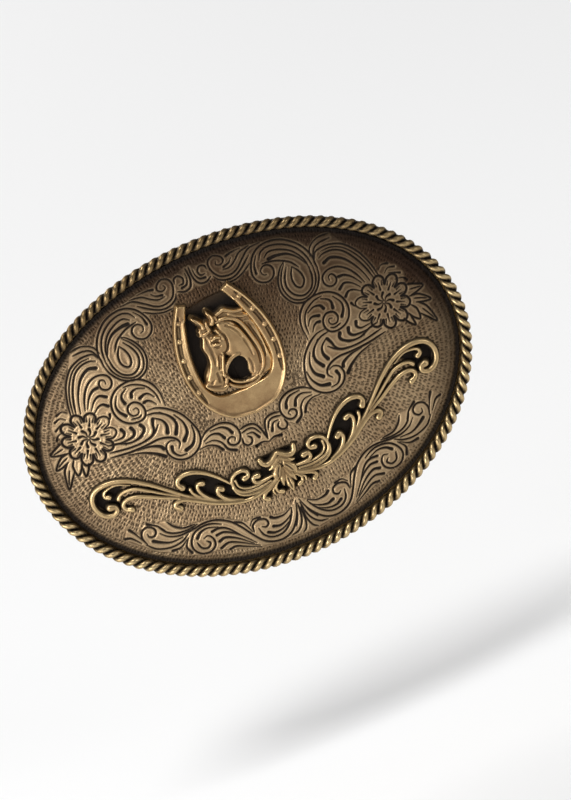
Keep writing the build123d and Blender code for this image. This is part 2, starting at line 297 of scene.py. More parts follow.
RIBS = [
    cut(0.4, (-33.4, 0.5), (-29, 0), (-25, 0), (-22, 0.2), (-19.8, -0.3), (-18.4, -1.3),
        (-18, -2.5), (-18.7, -3.5)),
    cut(0.36, (-33, 1.6), (-29, 1), (-26, 0.9), (-23.4, 1.3), (-21.8, 2.2), (-20.6, 3.4)),
    cut(0.36, (-32.8, 3.3), (-30.6, 2.9), (-28, 2), (-25.4, 2.2), (-24.4, 2.8)),
    comma(0.74, (-29, 2), (-26.4, 2.1), (-24.5, 2.9), (-23.8, 3.9), (-24.2, 4.9)),
    comma(0.74, (-31.6, 2.9), (-28.8, 2.8), (-26.8, 3.1), (-26.1, 4), (-26.4, 5.1)),
    comma(0.7, (-31, 3.8), (-29, 3.8), (-28.2, 4.6), (-28.5, 5.6)),
    comma(0.66, (-25, 1.1), (-23, 1.6), (-22, 2.6), (-21.7, 3.8), (-21.2, 5)),
    cut(0.36, (-21.6, 7.3), (-19.5, 7.1), (-17.2, 5.8), (-15, 3.5), (-13.7, 0.6), (-13.2, -2),
        (-13.8, -4.2), (-15.6, -5.9), (-18, -6.5), (-20.2, -5.7), (-21.4, -3.9), (-21.1, -2),
        (-19.9, -1.2), (-18.8, -1.5)),
    cut(0.3, (-22, 6.4), (-19.9, 6), (-17.9, 4.6), (-16.6, 2.8)),
    comma(0.8, (-16.5, 4), (-15.4, 1.6), (-15.5, -0.8), (-16.9, -2.4)),
    comma(0.8, (-19.2, 5.9), (-17.4, 3.8), (-16.9, 1.8), (-17.9, -0.2)),
    comma(0.8, (-21.1, 5.3), (-19.5, 4), (-19, 2.4), (-19.5, 0.8)),
    comma(0.8, (-14, 0.2), (-14.3, -2), (-15.5, -3.9), (-17.4, -4.6)),
    comma(0.7, (-17.6, -5.4), (-19.2, -5.2), (-20.2, -3.9), (-20, -2.6)),
    comma(0.8, (-29.4, -0.5), (-26.4, -1.3), (-23.8, -2.7), (-22.2, -4.1)),
    comma(0.76, (-27.2, -0.3), (-24.4, -0.6), (-22.4, -1.4), (-21.8, -2.3)),
]

CENTRE_BAND = [
    comma(0.56, (-14.6, -5.7), (-12.6, -5.7), (-10.9, -6.6), (-10, -8)),
    comma(0.6, (-12.9, -5), (-11, -5.1), (-9.6, -6.4), (-8.9, -8.3), (-7.4, -9.3)),
    cut(0.36, (-13.6, -4), (-12.2, -2.8), (-10.2, -2.1), (-8, -2.1), (-6.2, -3), (-5.2, -4.6),
        (-5.1, -6.2), (-5.8, -7.6), (-7, -8.1), (-8.1, -7.5), (-8.2, -6.5), (-7.3, -6),
        (-6.5, -6.5), (-6.8, -7.1)),
    comma(0.66, (-13, -4.4), (-11, -3.7), (-9.4, -4.2), (-8.6, -5.6)),
    comma(0.66, (-10.8, -2.8), (-8.4, -3), (-7.1, -4), (-6.6, -5.2)),
    cut(0.34, (-4.9, -5.3), (-3, -5), (-1.4, -5.5), (-0.5, -7.2), (0, -9.9)),
    cut(0.28, (-4.7, -6.2), (-3, -5.9), (-1.8, -6.4), (-0.9, -8)),
    comma(0.56, (-3.8, -6.9), (-2.5, -7.1), (-1.6, -8.7)),
    cut(0.36, (-5.1, -7.4), (-5.3, -8.6), (-4.6, -9.4), (-3.6, -9.2), (-3.2, -8.2), (-3.8, -7.4)),
    comma(0.66, (0, -10.6), (-1.4, -10.1), (-3, -10.4)),
]

LOWER_BAND = [
    comma(0.56, (-35.2, -19.8), (-36, -18), (-36.8, -16.7)),
    comma(0.56, (-35.6, -20.6), (-37.2, -18.7), (-38.5, -18.3)),
    cut(0.36, (-34.5, -21.4), (-35, -19.6), (-34.4, -18.1), (-33, -17.6), (-31.8, -18.3),
        (-31.6, -19.4), (-32.4, -20.2), (-33.4, -19.9), (-33.5, -19.1)),
    comma(0.56, (-29.6, -19.8), (-30.8, -18.2), (-32.6, -17)),
    cut(0.34, (-30.8, -18.2), (-29.4, -20.4), (-27.4, -21.5), (-24.6, -21.8), (-22.4, -21.4)),
    cut(0.34, (-28.4, -18.2), (-27.4, -19.8), (-25.6, -21), (-23, -21.2)),
    cut(0.36, (-30.9, -20.1), (-29.4, -21.5), (-27, -22.3), (-24, -22.2), (-21, -21.8),
        (-18.2, -22.3), (-15.6, -23.9), (-13.8, -26.2), (-12.2, -28.9), (-10.6, -31.1), (-8.6, -32.3),
        (-6.2, -32.6), (-4, -31.8), (-2.2, -29.9), (-1, -27.6), (-0.4, -25.6)),
    comma(0.7, (-26.6, -22.9), (-29.4, -23), (-31.4, -22.2), (-33, -21.2)),
    cut(0.32, (-34.8, -21.4), (-33, -23.2), (-30, -24.1), (-27.2, -23.8), (-25.2, -22.7)),
    comma(0.6, (-26, -23.8), (-28, -25), (-30, -25)),
    cut(0.36, (-17.6, -23.6), (-19.4, -22.7), (-21.4, -22.4), (-23.8, -23), (-25.3, -24.7),
        (-25.6, -26.6), (-24.4, -28.2), (-22.4, -28.6), (-20.8, -27.6), (-20.6, -26),
        (-21.4, -24.9), (-22.5, -25.1)),
    cut(0.34, (-24.3, -25.4), (-23.8, -27), (-22.5, -27.5), (-21.6, -26.7), (-22.2, -25.9)),
    comma(0.62, (-25.6, -23.6), (-26.8, -25.4), (-26.3, -27.1)),
    comma(0.62, (-18.6, -23.9), (-20.8, -23.2), (-22.6, -23.5), (-23.8, -24.5)),
    comma(0.52, (-12.2, -30.9), (-14.4, -28.2), (-16.6, -25.3), (-18.4, -24.3), (-20.2, -24.4)),
    comma(0.52, (-13, -29.8), (-15.6, -27), (-17.8, -25.6), (-19.6, -25.6)),
    comma(0.6, (-12.8, -30.8), (-15.6, -28.2), (-18, -26.9), (-19.6, -27.2)),
    comma(0.52, (-11.8, -31.8), (-15.4, -29.4), (-17.8, -28.3), (-19.9, -28.8)),
    comma(0.52, (-11.6, -32.3), (-14.6, -30.8), (-16.6, -29.8), (-18.2, -29.9)),
    comma(0.52, (-12, -28.2), (-12.7, -26.4), (-13.4, -25.2), (-14.8, -24.5)),
    cut(0.36, (-11.7, -28.4), (-11.4, -26.9), (-10, -26.2), (-8.4, -26.6), (-8, -27.8),
        (-8.8, -28.4), (-9.6, -28)),
    comma(0.5, (-11.9, -26.6), (-10.8, -25.6), (-9.2, -25.8)),
    cut(0.34, (-10.5, -28), (-10, -29.9), (-8.4, -31.2), (-6, -31.3), (-4, -30.1),
        (-2.6, -28.2), (-1.9, -26.8)),
    comma(0.62, (-2, -26.6), (-4, -27.5), (-6, -27.4), (-7, -26.8)),
    comma(0.62, (-2.2, -27.8), (-4, -28.9), (-5.8, -29.4), (-7.3, -29)),
    comma(0.6, (-3.2, -29.2), (-5.4, -30.3), (-7.4, -30.5), (-8.9, -29.8)),
    cut(0.32, (-0.3, -26.4), (-0.5, -28.6), (-1.2, -30.8), (-2.6, -32.3), (-4.4, -32.7)),
    cut(0.32, (-0.1, -27.5), (-0.2, -30.5), (-0.8, -32.4), (-1.8, -33.2)),
    comma(0.44, (-0.8, -26.8), (-1.4, -29), (-2.6, -30.9)),
]

# Outlines of the smooth, raised ornament; everything outside them is matted ground.
UPPER_ORNAMENT = [
    (-45.6, 6.1), (-41.9, 8.3), (-42.8, 10.8), (-41.4, 13.4), (-38.8, 15), (-37.6, 13.6), (-36.9, 16.5),
    (-35.4, 20.2), (-33.2, 23.2), (-31.4, 26.6), (-28.4, 27.2), (-26, 26), (-24.6, 27.8), (-22, 30.2),
    (-19, 31.3), (-16, 31.9), (-12.4, 32.8), (-9, 32.8), (-6.4, 33.8), (-4.2, 33), (-2.6, 33.1),
    (0, 33.8), (0, 28.6), (-2.4, 28.2), (-4.2, 28.6), (-5.4, 27.2), (-6.6, 26), (-8.8, 25.8),
    (-11.6, 27), (-11.8, 25.2), (-12.6, 23), (-15, 22.2), (-17, 22.9), (-16, 20.2),
    (-16.2, 17.6), (-17.8, 15.3), (-18.4, 14), (-16.9, 11.2), (-16.9, 6.8), (-14.8, 4), (-13.2, 0.8),
    (-12.9, -2.5), (-10.4, -1.7), (-8, -1.7), (-5.9, -2.6), (-4.8, -4.7), (-3, -4.6), (-1.2, -5.1),
    (0, -8), (0, -10.6), (-3.2, -10), (-4.6, -9.8), (-5.7, -8.6), (-7.2, -9.6), (-9, -9),
    (-10.2, -8), (-12, -6.2), (-15, -6.3), (-18, -6.9), (-20.6, -6), (-21.9, -4.2),
    (-26, -1.9), (-30, -0.4), (-33.5, 0.2), (-34.6, 0.8), (-36.8, 0.2), (-38.4, 1), (-40.2, -1.5),
    (-41.8, -0.8), (-43.4, -0.9), (-45.1, -3), (-44.9, 0.8), (-46, 2.4),
]
LOWER_ORNAMENT = [
    (-38.9, -18.3), (-36.9, -16.3), (-35.2, -18.4), (-34, -17.2), (-32.6, -16.6), (-30.6, -17.6),
    (-28.3, -17.8), (-26.6, -20.2), (-23, -20.9), (-19.6, -21.4), (-16, -22.9), (-13.2, -24.8),
    (-11.4, -25.2), (-9, -25.4), (-6.8, -26.4), (-4, -27), (-1.8, -26.2), (-0.4, -25),
    (0, -25), (0, -33.4), (-1.8, -33.5), (-4.4, -33.1), (-7, -33), (-10, -32.6),
    (-14, -31.6), (-17, -30.4), (-19.8, -29.4), (-21.6, -28.9), (-24, -28.7), (-26.6, -27.5),
    (-27.4, -25.4), (-30.4, -25.3), (-33, -24), (-35.2, -21.9), (-36.6, -20.4),
]

# Blackened recesses that show between the strokes of the left spray, and the one the shoe frames.
RECESSES = [
    [(-41.2, -8.4), (-40, -5.6), (-37, -4.9), (-33.6, -6.2), (-35.6, -8.4), (-36.4, -11.2),
     (-39, -11.8)],
    [(-22.6, -12), (-21.8, -10), (-19.4, -9.3), (-16.2, -10.6), (-12.4, -15), (-10.8, -13.9),
     (-7.6, -13.5), (-6.4, -15), (-4.4, -15.6), (-4, -13.6), (0, -13.8), (0, -20.2), (-6, -20.4),
     (-12, -19.8), (-18, -16.9), (-22.4, -13.4)],
    [(-6.6, -20.4), (-5.6, -22.6), (-3.6, -21.4), (-2.2, -22.5), (0, -22), (0, -19.6)],
]
SHOE_U = 0.4
SHOE_RECESS = [
    (0, 4.9), (4.4, 5.4), (8, 9), (8, 15.6), (6.6, 21.8), (5, 24.8), (2.4, 25.4),
    (-2.4, 25), (-5, 24.6), (-6.6, 21.8), (-8, 15.6), (-8.4, 9.4), (-7.2, 6.2), (-3.6, 5.2),
]


def flower_cuts():
    """A ten-petalled rosette: its notched outline, a vein in each petal, and the wedges at its heart."""
    cu, cv = FLOWER
    petals, phase = 10, 0.14
    cuts = []
    outline = []
    for k in range(petals * 10 + 1):
        turn = 2 * math.pi * k / (petals * 10) + phase
        lobe = abs(math.sin(petals * (turn - phase) / 2)) ** 0.55
        wobble = 0.35 * math.sin(3 * turn + 1.0)
        radius = 4.0 + 2.15 * lobe + wobble * lobe
        outline.append((cu + radius * math.cos(turn), cv + radius * math.sin(turn)))
    cuts.append(cut(0.44, *outline))
    for k in range(petals):
        turn = 2 * math.pi * (k + 0.5) / petals + phase
        veins = ((0.0, 2.9, 4.7, 0.40), (0.16, 3.9, 5.0, 0.24), (-0.16, 3.9, 5.0, 0.24))
        for lean, near, far, width in veins:
            c, s = math.cos(turn + lean), math.sin(turn + lean)
            cuts.append(comma(width, (cu + far * c, cv + far * s), (cu + near * c, cv + near * s)))
    for k in range(8):
        turn = 2 * math.pi * k / 8 + 0.3
        c, s = math.cos(turn), math.sin(turn)
        bend = (cu + 1.3 * math.cos(turn - 0.25), cv + 1.3 * math.sin(turn - 0.25))
        cuts.append(comma(0.56, (cu + 0.35 * c, cv + 0.35 * s), bend, (cu + 2.1 * c, cv + 2.1 * s)))
    return cuts


def stroke_widths(kind, width, along):
    """Half width along a cut, from 0 at its start to 1 at its end."""
    if kind == "comma":
        swell = 0.22 + 0.78 * along ** 1.4
        return width / 2 * swell
    return width / 2 * np.minimum(1, 0.35 + 5 * np.minimum(along, 1 - along))


def engraving_distance(grid):
    """Signed distance from the nearest cut's edge, both halves."""
    field = grid.full(9)
    upper = (LEAVES_BY_FLOWER, flower_cuts(), PLUME, WHEEL, PAISLEY, TOP_BAND, RIBS)
    groups = upper + (CENTRE_BAND, LOWER_BAND)
    for group in groups:
        for kind, width, points in group:
            for side in (list(points), mirrored(points)):
                line, along = smooth_line(side)
                grid.stroke(field, line, stroke_widths(kind, width, along))
    return field


def rim_distance(u, v):
    """About how far a point lies inside the field's oval edge."""
    r = np.sqrt((u / FIELD_U) ** 2 + (v / FIELD_V) ** 2) + 1e-9
    slope = np.sqrt((u / FIELD_U ** 2) ** 2 + (v / FIELD_V ** 2) ** 2) / r + 1e-9
    return (1 - r) / slope


def matting(grid, keep_clear):
    """Punch marks of the matted ground: short pecks in rows that ring the plate, each across its row."""
    rng = random.Random(SEED)
    field = grid.full(9)
    row_gap, peck_gap = 0.98, 0.66
    rows = int(FIELD_V / row_gap)
    for row in range(rows):
        inset = 0.9 + row * row_gap
        a, b = FIELD_U - inset * 1.12, FIELD_V - inset
        if b < 1.5:
            break
        around = math.pi * (3 * (a + b) - math.sqrt((3 * a + b) * (a + 3 * b)))
        count = int(around / peck_gap)
        for k in range(count):
            turn = 2 * math.pi * (k + 0.5 * (row % 2) + rng.uniform(-0.22, 0.22)) / count
            u = a * math.cos(turn) + rng.uniform(-0.12, 0.12)
            v = b * math.sin(turn) + rng.uniform(-0.2, 0.2)
            i = int(round((u - grid.us[0]) / grid.step))
            j = int(round((v - grid.vs[0]) / grid.step))
            if not (0 <= i < len(grid.us) and 0 <= j < len(grid.vs)) or keep_clear[i, j]:
                continue
            lean = math.atan2(v / b ** 2, u / a ** 2) + rng.uniform(-0.45, 0.45)
            reach = rng.uniform(0.20, 0.36)
            du, dv = reach * math.cos(lean), reach * math.sin(lean)
            line = np.array([(u - du, v - dv), (u, v), (u + du, v + dv)])
            halves = np.array([0.07, 0.17, 0.13]) * rng.uniform(0.8, 1.2)
            grid.stroke(field, line, halves, reach=0.3)
    return field


# =====================================================================================================
# Meshes from height grids
# =====================================================================================================
def mesh_object(name, verts, faces, material, attributes=None):
    mesh = bpy.data.meshes.new(name)
    mesh.from_pydata([tuple(p) for p in verts], [], faces)
    mesh.validate()
    for key, values in (attributes or {}).items():
        layer = mesh.attributes.new(key, "FLOAT", "POINT")
        layer.data.foreach_set("value", np.asarray(values, dtype=np.float32))
    mesh.polygons.foreach_set("use_smooth", [True] * len(mesh.polygons))
    mesh.materials.append(material)
    mesh.update()
    obj = bpy.data.objects.new(name, mesh)
    bpy.context.scene.collection.objects.link(obj)
    return obj


def relief_piece(name, grid, height, keep, floor, material, attributes):
    """A body whose front is a height grid, cut to the cells in keep, with sides down to a floor."""
    cells = keep[:-1, :-1] & keep[1:, :-1] & keep[:-1, 1:] & keep[1:, 1:]
    used = np.zeros(keep.shape, bool)
    for di in (0, 1):
        for dj in (0, 1):
            used[di:cells.shape[0] + di, dj:cells.shape[1] + dj] |= cells
    number = np.full(keep.shape, -1)
    number[used] = np.arange(used.sum())
    count = int(used.sum())
    u, v, h = grid.u[used], grid.v[used], height[used]
    top = np.stack(on_plate(u, v, h), axis=1)
    base = np.stack(on_plate(u, v, np.full_like(u, floor)), axis=1)
    i, j = np.nonzero(cells)
    quads = np.stack([number[i, j], number[i + 1, j], number[i + 1, j + 1], number[i, j + 1]], axis=1)
    edges = np.concatenate([quads[:, [k, (k + 1) % 4]] for k in range(4)])
    forward = edges[:, 0].astype(np.int64) * count + edges[:, 1]
    backward = edges[:, 1].astype(np.int64) * count + edges[:, 0]
    rim = edges[~np.isin(forward, backward)]
    on_rim = np.unique(rim)
    low = {int(n): count + k for k, n in enumerate(on_rim)}
    verts = np.concatenate([top, base[on_rim]])
    faces = [tuple(q) for q in quads.tolist()]
    faces += [(b, a, low[a], low[b]) for a, b in rim.tolist()]
    follow = {b: a for a, b in rim.tolist()}
    for loop in rim_loops(follow):
        faces.append(tuple(low[n] for n in loop[::-1]))
    values = {key: np.concatenate([a[used], a[used][on_rim]]) for key, a in attributes.items()}
    return mesh_object(name, verts, faces, material, values)


def rim_loops(follow):
    """Splits the rim's edges into closed loops."""
    left = dict(follow)
    loops = []
    while left:
        start = next(iter(left))
        loop = [start]
        at = left.pop(start)
        while at != start and at in left:
            loop.append(at)
            at = left.pop(at)
        if len(loop) > 2:
            loops.append(loop)
    return loops


# =====================================================================================================
# Cast overlays: strokes with a rounded crown, joined by taking the highest
# =====================================================================================================
def swell(along, start, middle, end):
    """Half widths from three widths, at the tip, half way and at the root."""
    first = start + (middle - start) * np.minimum(1, along * 2.5)
    return (first + (end - first) * np.clip((along - 0.4) / 0.6, 0, 1)) / 2


def raise_stroke(grid, height, line, halves, lift, crown, fall=5.0, across=None):
    """Raises height to a rounded ridge along a line. Beyond its edge the ridge falls away steeply.
    Across, where given, keeps how far each point is over the nearest ridge, 1 being its edge."""
    win = grid.window(line, halves.max() + 0.6)
    u, v = grid.u[win], grid.v[win]
    best = height[win]
    for start in range(0, len(line), BATCH):
        part, half = line[start:start + BATCH], halves[start:start + BATCH]
        d = np.sqrt((u[..., None] - part[:, 0]) ** 2 + (v[..., None] - part[:, 1]) ** 2)
        round_top = crown * half * np.sqrt(np.clip(1 - (d / half) ** 2, 0, 1))
        ridge = lift + round_top - fall * np.clip(d - half, 0, None)
        best = np.maximum(best, ridge.max(axis=-1))
        if across is not None:
            across[win] = np.minimum(across[win], (d / half).min(axis=-1))
    height[win] = best


# Tip width, middle width, root width, then the line from the tip to the root. Left spray.
SPRAY = [
    (1.5, 1.5, 1, [(-38.5, -9.9), (-37.4, -10.2), (-37.3, -11.2), (-38.6, -11.8), (-40.3, -11.2),
        (-41.4, -9.6), (-41.6, -7.6), (-40.8, -5.8), (-39.2, -4.8), (-37, -4.5),
        (-34.4, -4.9), (-31.4, -6.2), (-28, -8.6), (-24.8, -11.5), (-22, -14),
        (-19, -16.3)]),
    (1.1, 0.8, 0.5, [(-37.6, -7.6), (-38.4, -7.2), (-38.2, -6.2), (-36.8, -5.6), (-34.8, -5.6),
        (-32.2, -6.8)]),
    (0.9, 1, 0.8, [(-35.9, -8.8), (-35.1, -8), (-33.6, -7.7), (-31.4, -8.1), (-29, -9.6),
        (-26.2, -11.6), (-23.2, -13.5)]),
    (1.3, 1.2, 0.9, [(-34.1, -12.2), (-35.3, -11.6), (-35.5, -10.5), (-34.4, -9.7), (-32.2, -9.8),
        (-29.4, -11), (-26.4, -12.6), (-23.2, -14.1), (-20.2, -16)]),
    (1.4, 1.3, 1.5, [(-24.2, -16.2), (-25, -15.5), (-24.6, -14.8), (-22.8, -14.7), (-20.4, -16),
        (-17.6, -17.8), (-14.6, -19.3), (-11, -20.5), (-8, -20.7), (-4.6, -20),
        (-2.2, -19)]),
    (0.7, 0.8, 0.7, [(-23.6, -13.9), (-20, -15.8), (-16, -18), (-12.4, -19.7)]),
    (1.4, 1.3, 0.9, [(-21.9, -12), (-22.5, -11), (-22, -9.9), (-20.4, -9.4), (-18.4, -9.7),
        (-16, -11), (-13.8, -13.1), (-11.9, -15.5)]),
    (1.2, 1, 0.8, [(-8.6, -15.8), (-7.6, -15.6), (-7.4, -14.6), (-8.4, -13.9), (-10, -14),
        (-11.2, -14.9), (-11.5, -16.4), (-11, -17.8), (-9.4, -18.8), (-6.6, -19.2),
        (-3.4, -18.8)]),
    (0.6, 0.7, 0.6, [(-10.6, -15.4), (-10.4, -17), (-9, -18.1), (-6.5, -18.5), (-3.6, -18.2)]),
    (1.2, 1.1, 0.8, [(-5.5, -16.5), (-6.7, -16.5), (-6.8, -17.5), (-5.8, -18), (-4.2, -18),
        (-2.2, -17.8)]),
    (0.7, 0.9, 0.8, [(-20.5, -13.1), (-20.2, -14.4), (-18.8, -16.1), (-16.8, -17.7)]),
    (1.1, 1, 0.8, [(-17.4, -13), (-18.5, -12.8), (-18.9, -13.9), (-18.3, -15.6), (-16.8, -17.4),
        (-14.4, -19.1), (-11.6, -20.1)]),
    (1.2, 1.2, 0.8, [(-14, -16), (-14.8, -15.5), (-15.2, -16.6), (-14.4, -18.1), (-12.8, -19.3),
        (-10.8, -20.1)]),
    (0.8, 0.9, 0.8, [(-11.6, -16.8), (-11.2, -18.4), (-9.6, -19.5), (-7, -19.9), (-4, -19.5),
        (-2, -18.8)]),
    (1.1, 1, 0.7, [(-5.6, -22.5), (-6.4, -21.8), (-5.6, -20.9), (-4.2, -20.4), (-2.6, -19.6)]),
    (1, 0.8, 0.7, [(-2, -22.2), (-2.9, -21.8), (-3.1, -20.9), (-2.5, -20), (-1.6, -19.4)]),
    (0.5, 0.6, 0.6, [(-3.8, -22), (-3.9, -21.2), (-3.2, -20.4)]),
]
LILY_U = 0.3
LILY = [
    (1.2, 1.3, 1.1, [(-4.1, -13.4), (-3.8, -14.4), (-2.9, -15), (-1.8, -14.7), (-1, -14.1),
        (-0.2, -13.5)]),
    (0.5, 1.3, 1.2, [(-3, -16.3), (-2.2, -16.1), (-1.2, -15.5), (-0.2, -14.7)]),
    (0.3, 2.4, 1.3, [(-2.4, -19.4), (-1.9, -17.9), (-0.4, -15.8)]),
    (0.3, 1.5, 0.9, [(-1.5, -21), (-1.1, -19.4), (-0.2, -17.2)]),
    (0.4, 2, 0.8, [(0, -23), (0, -21.2), (0, -18.4)]),
]
LILY_VEINS = [
    cut(0.24, (-1.8, -18.4), (-1.4, -17.4), (-0.7, -16.4)),
    cut(0.24, (1.8, -18.4), (1.4, -17.4), (0.7, -16.4)),
    cut(0.24, (0.0, -22.2), (0.0, -21.0), (0.0, -19.6)),
    cut(0.22, (-0.5, -15.4), (0.0, -16.2), (0.5, -15.4)),
]


def scroll_height(side):
    low, high = (-43.4, 0.6) if side < 0 else (-0.6, 43.4)
    grid = Grid((low, -24.0), (high, -3.0), FINE)
    height, across = grid.full(-9), grid.full(9)
    for tip, middle, root, points in SPRAY:
        line, along = smooth_line(points if side < 0 else mirrored(points))
        bulb = 1 + 0.36 * np.exp(-(along * len(line) * 0.12 / 0.8) ** 2)
        halves = 0.80 * swell(along, tip, middle, 0.78 * root) * bulb
        raise_stroke(grid, height, line, halves, FIELD + 0.74, 0.78, across=across)
    # Darkened toward the edge of each stroke, as painted shade on its sides.
    return grid, height, 0.97 * ease(across, 0.66, 0.96)


def lily_height():
    grid = Grid((-5.0, -24.4), (5.6, -12.2), FINE)
    height, across = grid.full(-9), grid.full(9)
    for tip, middle, root, points in LILY:
        for side in (-1, 1):
            line, along = smooth_line([(LILY_U - side * u, v) for u, v in points])
            halves = 0.9 * swell(along, tip, middle, root)
            raise_stroke(grid, height, line, halves, FIELD + 0.95, 0.7, across=across)
    veins = grid.full(9)
    for kind, width, points in LILY_VEINS:
        line, along = smooth_line([(LILY_U + u, v) for u, v in points])
        grid.stroke(veins, line, stroke_widths(kind, width, along))
    height -= 0.25 * ease(veins, 0.2, -0.1)
    # Darkened toward the edge of each stroke, as painted shade on its sides and in the valleys between them;
    # the veins are blackened cuts.
    return grid, height, 0.95 * np.maximum(ease(across, 0.76, 0.98), ease(veins, 0.16, -0.06))


# One arm of the horseshoe, from its centre line: outer edge, inner edge and the fuller's middle.
SHOE_OUTER = [(0.0, -3.2), (5.6, -1.9), (9.7, 2.6), (11.4, 9.0), (11.1, 15.6), (9.2, 21.8), (6.3, 27.0)]
SHOE_HEEL = (4.1, 25.9)
SHOE_INNER = [(5.9, 22.2), (7.5, 16.4), (8.1, 11.0), (7.7, 6.6), (5.6, 3.9), (0.0, 3.2)]
SHOE_FULLER = [(9.0, 3.6), (10.1, 9.5), (9.7, 15.6), (8.2, 20.8), (6.8, 24.2)]
NAILS = [(9.8, 6.6), (10.15, 10.6), (9.75, 14.6), (8.8, 19.0), (7.3, 22.9)]


def both_arms(points):
    return [(SHOE_U + u, v) for u, v in points], [(SHOE_U - u, v) for u, v in points]


def horseshoe_height():
    grid = Grid((-12.0, -4.4), (12.8, 28.0), FINE)
    edge_out, edge_in, fuller = grid.full(9), grid.full(9), grid.full(9)
    for arm in both_arms(SHOE_OUTER):
        grid.measure(edge_out, smooth_line(arm)[0], 6)
    right_out, left_out = (smooth_line(a)[0] for a in both_arms(SHOE_OUTER))
    right_in, left_in = (smooth_line(a)[0] for a in both_arms(SHOE_INNER))
    heel_r, heel_l = both_arms([SHOE_HEEL])
    ring = np.vstack([right_out, heel_r, right_in, left_in[::-1], heel_l, left_out[::-1]])
    inside = grid.inside(ring)
    for line in (right_in, left_in):
        grid.measure(edge_in, line, 6)
    heels = grid.full(9)
    for outer, heel, inner in ((right_out, heel_r, right_in), (left_out, heel_l, left_in)):
        end = np.vstack([np.linspace(outer[-1], heel[0], 20), np.linspace(heel[0], inner[0], 30)])
        grid.measure(heels, end, 6)
    for arm in both_arms(SHOE_FULLER):
        line, along = smooth_line(arm)
        grid.stroke(fuller, line, 0.42 * np.minimum(1, 0.3 + 5 * np.minimum(along, 1 - along)), reach=2)
    rim = np.minimum(np.minimum(edge_out, edge_in), heels)
    signed = np.where(inside, rim, -rim)
    outer_bead = 0.46 * np.exp(-((edge_out - 0.48) / 0.40) ** 2)
    inner_bead = 0.40 * np.exp(-((edge_in - 0.62) / 0.42) ** 2) * ease(grid.v, 4.5, 8.0)
    height = FIELD + 1.12 + outer_bead + inner_bead - 0.42 * ease(fuller, 0.20, -0.26)
    height -= 0.75 * np.clip(1 - signed / 0.45, 0, 1) ** 2
    height = np.where(signed > 0, height, FIELD + 0.4 + 5 * signed)
    for arm in both_arms(NAILS):
        for u, v in arm:
            d = np.sqrt((grid.u - u) ** 2 + ((grid.v - v) / 1.15) ** 2)
            dome = 0.62 * np.sqrt(np.clip(1 - (d / 0.62) ** 2, 0, 1))
            height = np.maximum(height, FIELD + 0.85 + dome - 9 * (d > 0.62))
    dark = (ease(fuller, 0.16, -0.08) - 0.40 * ease(fuller, -0.12, -0.32)) * 0.86
    # Painted shade: the left arm darkened.
    dark = np.maximum(dark, 0.30 * ease(-grid.u, 5.0, 8.5) * ease(grid.v, 2.0, 8.0))
    for arm in both_arms(NAILS):
        for u, v in arm:
            d = np.sqrt((grid.u - u) ** 2 + (grid.v - v) ** 2)
            dark = dark * ease(d, 0.42, 0.62)
    return grid, height, dark
